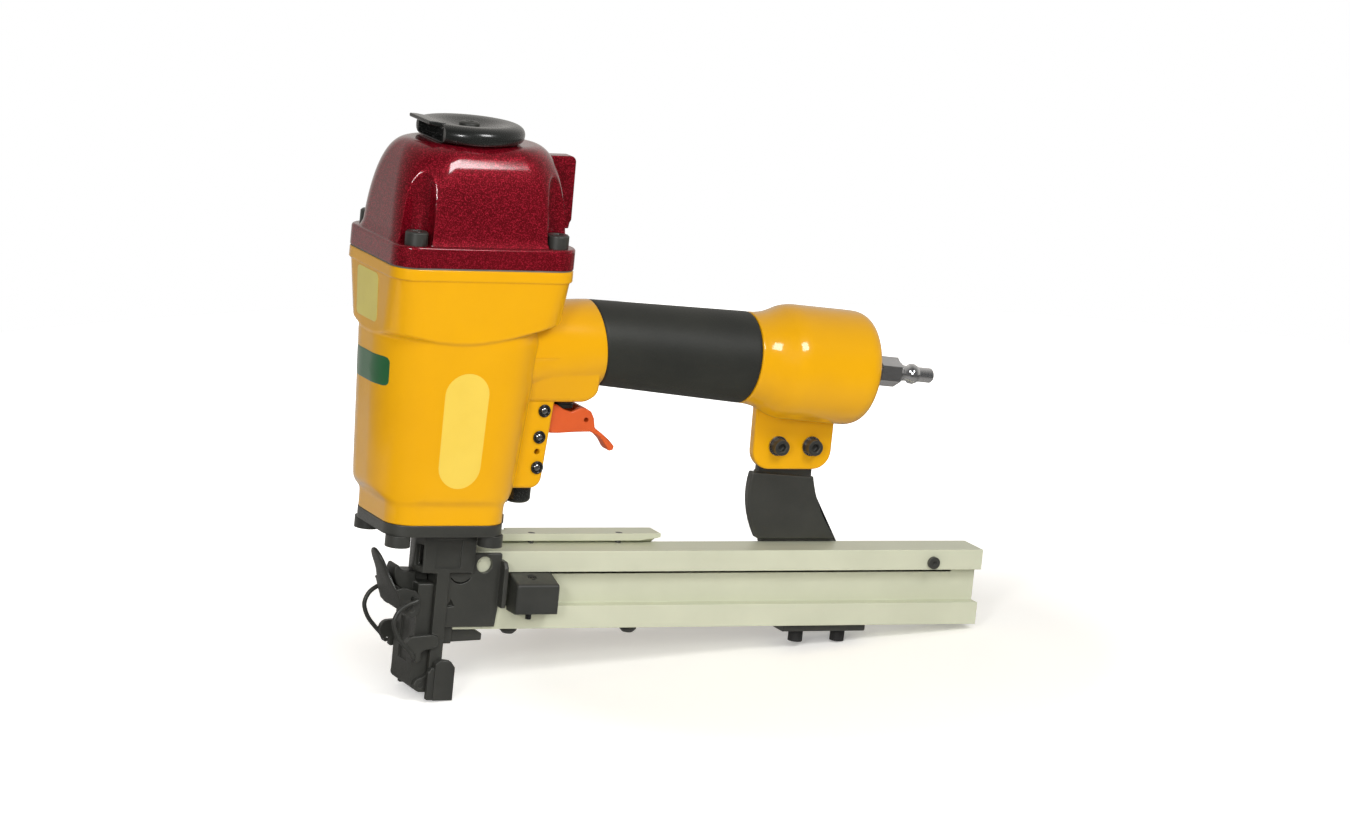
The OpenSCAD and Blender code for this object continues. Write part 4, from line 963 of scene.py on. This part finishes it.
def turned_along_y(name, places, profile):
    """A profile of (y, radius) turned about a line along Y through each place, all in one mesh."""
    angle = -ring_turns(40)
    spin = np.asarray(profile, float)
    work = bmesh.new()
    for at_x, at_z in places:
        x = at_x + spin[:, 1:] * np.cos(angle)
        z = at_z + spin[:, 1:] * np.sin(angle)
        y = np.broadcast_to(spin[:, :1], x.shape)
        part = grid_mesh(name, tool(np.stack([x, y, z], axis=-1)))
        work.from_mesh(part)
        bpy.data.meshes.remove(part)
    mesh = bpy.data.meshes.new(name)
    work.to_mesh(mesh)
    work.free()
    return smooth(shape_object(name, mesh), 40)


pin_r, pin_dome = 2.0, 1.1
dome = np.radians(np.linspace(0, 88, 9))
pin_half = np.stack([pin_reach - pin_dome + pin_dome * np.sin(dome), pin_r * np.cos(dome)], axis=-1)
pin_profile = np.concatenate([pin_half[::-1] * [-1, 1], pin_half])
pins = turned_along_y("cross_pins", pin_places, pin_profile)
add_piece(pins, ground_steel, "tool", "steel", "block_pins")
ring_low, ring_r = 14.0, 3.4
bead = np.radians(np.linspace(-90, 180, 16))
bead_r = (ring_reach - ring_low) / 2
bead_y = ring_low + bead_r + bead_r * np.sin(bead)
ring_half = np.stack([bead_y, ring_r - bead_r + bead_r * np.cos(bead)], axis=-1)
ring_far = np.concatenate([[[ring_low, 3.0]], ring_half[4:], [[ring_low, 2.05]]])
rings_far = turned_along_y("ring_far", pin_places, ring_far)
rings_near = turned_along_y("pin_rings", pin_places, ring_far * [-1, 1])
fused(rings_near, [rings_far])
smooth(rings_near, 50)
add_piece(rings_near, gloss_black, "tool", "black_rubber", "pin_grommets")

# The contact arm and its guide: a bent steel arm from the shoe beside the nose up to the trigger valve.
# The guide under the valve block is moulded plastic; the arm is pressed from black steel plate.
guide_low, guide_high = (corner.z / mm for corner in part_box("arm_guide"))
guide_x, guide_l, guide_w, guide_corner, guide_round = 44.7, 12.6, 17.0, 4.0, 3.0
guide_turn = np.radians(np.linspace(90, 0, 9))
guide_inset = np.concatenate([guide_round * (1 - np.cos(guide_turn)), [0]])[:, None]
guide_level = np.concatenate([guide_low + guide_round * (1 - np.sin(guide_turn)), [guide_high - 1]])[:, None]
guide_reach = reach(ring_turns(72), guide_l - 2 * guide_inset, guide_w - 2 * guide_inset, guide_corner, 0.0)
guide_rows = around_drive(ring_turns(72), guide_level, guide_reach) + np.array([guide_x, 0, 0])
guide_shape = lofted("guide_block", guide_rows)
rod_x, boss_r, rod_bore_r = 36.3, 4.2, 1.9
boss = plate("guide_boss", arc((rod_x, 0), boss_r, 0, 352, 46), guide_low, guide_high, "z")
bore = plate("guide_bore", arc((rod_x, 0), rod_bore_r, 0, 345, 24), guide_low - 1, guide_high + 1, "z")
fused(guide_shape, [boss], [bore])
add_piece(smooth(guide_shape, 40), gloss_black, "tool", "black_plastic", "arm_guide")
add_machined("contact_arm", black_oxide, "black_steel", 0.5, body="contact_arm")

# The nose group: bottom plate, driver guide, hinged front door with latch lever and wire, and side plates.
# They are machined and pressed from steel, blacked, and held by four socket screws and two pins.
cast_black, *_ = finish_of(
    "cast_black", (0.046, 0.047, 0.04), (0.034, 0.035, 0.03), (0.15, 0.15, 0.13),
    blotch=50, grain=1100, rough=(0.36, 0.5), bump=0.18, depth=0.07,
    metallic=0.2, shine=1.0, edge=0.7, wear=0.6, round_edges=0.8,
)
for node, ease in [("bottom_plate", 0.8), ("side_plate_far", 0.5)]:
    add_machined(node, cast_black, "black_steel", ease)

# The nose's oval slot is an outline carried straight in from its slanted front corner.
slot_r, slot_high, slot_low = 2.1, 77.9, 71.7
corner_x, corner_y = -10.9, -12.5
inward_x, inward_y = 0.928, 0.371
slot_top = arc((0, slot_high), slot_r, 0, 180, 12)
slot_line = np.concatenate([slot_top, arc((0, slot_low), slot_r, 180, 360, 12)])
slot_depth = np.array([-2.0, 8.0])[:, None]
slot_x = corner_x + inward_y * slot_line[:, 0] + inward_x * slot_depth
slot_y = corner_y - inward_x * slot_line[:, 0] + inward_y * slot_depth
slot_rows = np.stack([slot_x, slot_y, slot_line[:, 1] + 0 * slot_depth], axis=-1)
deep_slot = lofted("deep_slot", slot_rows)
add_machined("nose", cast_black, "black_steel", 0.6, cutters=[deep_slot])

near_face = -13.2
crescent_line = np.concatenate([arc((13, 66.4), 6.8, 212, 328, 14), arc((13, 66.9), 6.4, 324, 216, 14)])
crescent = plate("crescent", crescent_line, near_face - 1, near_face + 2.5)
dent = plate("dent", [[8.5, 51.8], [5.8, 47.2], [10.9, 47.9]], near_face - 1, near_face + 2.0)
near_plate = fused(machined("side_plate_near", 0.5), [], [crescent, dent])
add_piece(smooth(near_plate), cast_black, "tool", "black_steel", "side_plate_near")
add_machined("base_screws", black_oxide, "black_steel", 0.6, 35, 3)
door_shape = machined("door", 0.7)
catch_outline = [
    [-8.5, 54.6], [-15, 54.6], [-18.6, 57.4], [-20.4, 61.6], [-21, 65.4], [-20.2, 67.6], [-18.6, 67.8],
    [-17.4, 66], [-15.2, 64.8], [-8.5, 64.6],
]
catch = settled(eased(plate("door_catch", catch_outline, -5.5, 5.5), 0.8, 3))
add_piece(smooth(fused(door_shape, [catch])), cast_black, "door", "black_steel", "door")


def bent_leaf(name, spine, half_width, half_thick):
    """A flattened oval carried along a spine in the XZ plane.

    Each section is as wide across Y and as thick across the spine as the two lists say."""
    run = np.gradient(spine, axis=0)
    run = run / np.linalg.norm(run, axis=1, keepdims=True)
    angle = ring_turns(48)
    wide = half_width[:, None] * np.sign(np.cos(angle)) * np.abs(np.cos(angle)) ** 0.7
    thick = half_thick[:, None] * np.sign(np.sin(angle)) * np.abs(np.sin(angle)) ** 0.8
    x = spine[:, :1] - run[:, 1:] * thick
    z = spine[:, 1:] + run[:, :1] * thick
    return lofted(name, np.stack([x, wide, z], axis=-1))


leaf_steps = 72
leaf_place = np.linspace(0, 1, leaf_steps)
leaf_spine = [[-18.4, 46.4], [-19.6, 50], [-21.2, 54.4], [-23, 58.8], [-25.2, 64], [-28, 70], [-31, 75.8]]
leaf_spine = smooth_profile(leaf_spine, leaf_steps)
leaf_reach = smooth_profile([[15.2], [15.2], [14.6], [11.6], [8.6], [7.4], [6.6]], leaf_steps)[:, 0]
leaf_end = np.sqrt(np.clip(1 - (np.clip(leaf_place - 0.8, 0, None) / 0.2) ** 2, 0.002, 1))
leaf_thick = (1.05 + 0.45 * leaf_place) * np.sqrt(leaf_end)
leaf = bent_leaf("lever_leaf", leaf_spine, leaf_reach * leaf_end, leaf_thick)
tab_cut = plate("tab_cut", rectangle(-45, -16.9, 44, 90), -13.25, 13.25)
lever_shape = machined("latch_lever", 0, cutters=[tab_cut])
fused(lever_shape, [leaf])
add_piece(smooth(lever_shape, 40), black_oxide, "latch_lever", "black_steel", "latch_lever")


def bent_wire(name, path, radius):
    """A round wire: a circle carried along a smooth path, square to it at every place."""
    run = np.gradient(path, axis=0)
    run = run / np.linalg.norm(run, axis=1, keepdims=True)
    side = np.cross(run, np.array([-0.32, 0.6, 0.73]))
    side = side / np.linalg.norm(side, axis=1, keepdims=True)
    other = np.cross(run, side)
    angle = ring_turns(20)[..., None]
    rows = path[:, None] + radius * (np.cos(angle) * side[:, None] + np.sin(angle) * other[:, None])
    return smooth(lofted(name, rows), 60)


wire_y = 20.3
arm_bend = [
    [-12.7, 22.9], [-14.2, 25.4], [-18.2, 29.4], [-22.4, 34.4],
    [-24.9, 41], [-23, 46.8], [-18.6, 50.4], [-13.4, 52.5],
]
near_arm = [[x, -wire_y, z] for x, z in arm_bend]
far_arm = [[x, wire_y, z] for x, z in arm_bend[::-1]]
wire_path = [
    [-12.7, -16.7, 22.9], [-12.7, -18.9, 22.9], *near_arm, [-12.9, -18.6, 52.5], [-12.9, -9, 52.5],
    [-12.9, 9, 52.5], [-12.9, 18.6, 52.5], *far_arm, [-12.7, 18.9, 22.9], [-12.7, 16.7, 22.9],
]
wire_r = 1.15
wire_shape = bent_wire("wire_loop", smooth_profile(wire_path, 260), wire_r)
add_piece(wire_shape, black_oxide, "latch_wire", "black_steel", "latch_wire")
finish_nodes(black_oxide, "door_pin_rod", "lever_pin_rod")

# The magazine: a long extruded rail with a side groove for the pusher, a top strip and its screws.
# It is aluminium, drawn along X, satin anodised.
satin_extrusion, tree, *_, bump = finish_of(
    "satin_extrusion", (0.65, 0.665, 0.51), (0.6, 0.615, 0.47), (0.76, 0.77, 0.65),
    blotch=30, grain=1200, rough=(0.34, 0.46), bump=0.1, depth=0.04,
    metallic=0.18, edge=0.4, wear=0.4,
)
drawn = node_in(tree, "Mapping", own_place(tree), Scale=(14, 1500, 1500))
die_lines = node_in(tree, "TexNoise", drawn.outputs["Vector"], Scale=1.0, Detail=3.0)
tree.links.new(die_lines.outputs["Fac"], bump.inputs["Height"])
add_machined("magazine", satin_extrusion, "aluminium", 0.4)
add_machined("top_strip", satin_extrusion, "aluminium", 0.3)
for node in ("strip_screws", "rear_screw", "magazine_screws"):
    add_machined(node, black_oxide, "black_steel", 0.4)

# The pusher: a moulded block in the side groove that drives the row of fasteners to the nose.
# A steel pin stands on it for the thumb, and a spring in the rail draws it forward.
pin_top_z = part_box("pusher_pin")[1].z / mm
pin_spot, hole_r, head_r = (52, -15), 2.5, 2.45
pin_hole = plate("pin_hole", arc(pin_spot, hole_r, 0, 350, 36), pin_top_z - 3, pin_top_z + 4, "z")
add_machined("pusher", satin_black, "black_plastic", 1.3, 40, 4, body="pusher", cutters=[pin_hole])
pin_shape = machined("pusher_pin", 0.4)
pin_head = plate("pin_head", arc(pin_spot, head_r, 0, 350, 36), pin_top_z - 2.9, pin_top_z + 0.5, "z")
pin_head = settled(eased(pin_head, 0.3))
add_piece(smooth(fused(pin_shape, [pin_head])), gloss_black, "pusher", "black_steel", "pusher_pin")

# The stay: a pressed steel bracket from the bell's lug to the magazine's rear, with the foot under it.
# It is blacked, and held by two socket screws with washers above and two rubber-headed screws below.
add_machined("stay", cast_black, "black_steel", 0.8, 40, 3)
add_machined("lug_screws", black_oxide, "black_steel", 0.5, 35, 3)
add_machined("lug_washers", ground_steel, "steel", 0.2)
add_machined("foot_screws", satin_rubber, "black_rubber", 0.8, 35, 3)
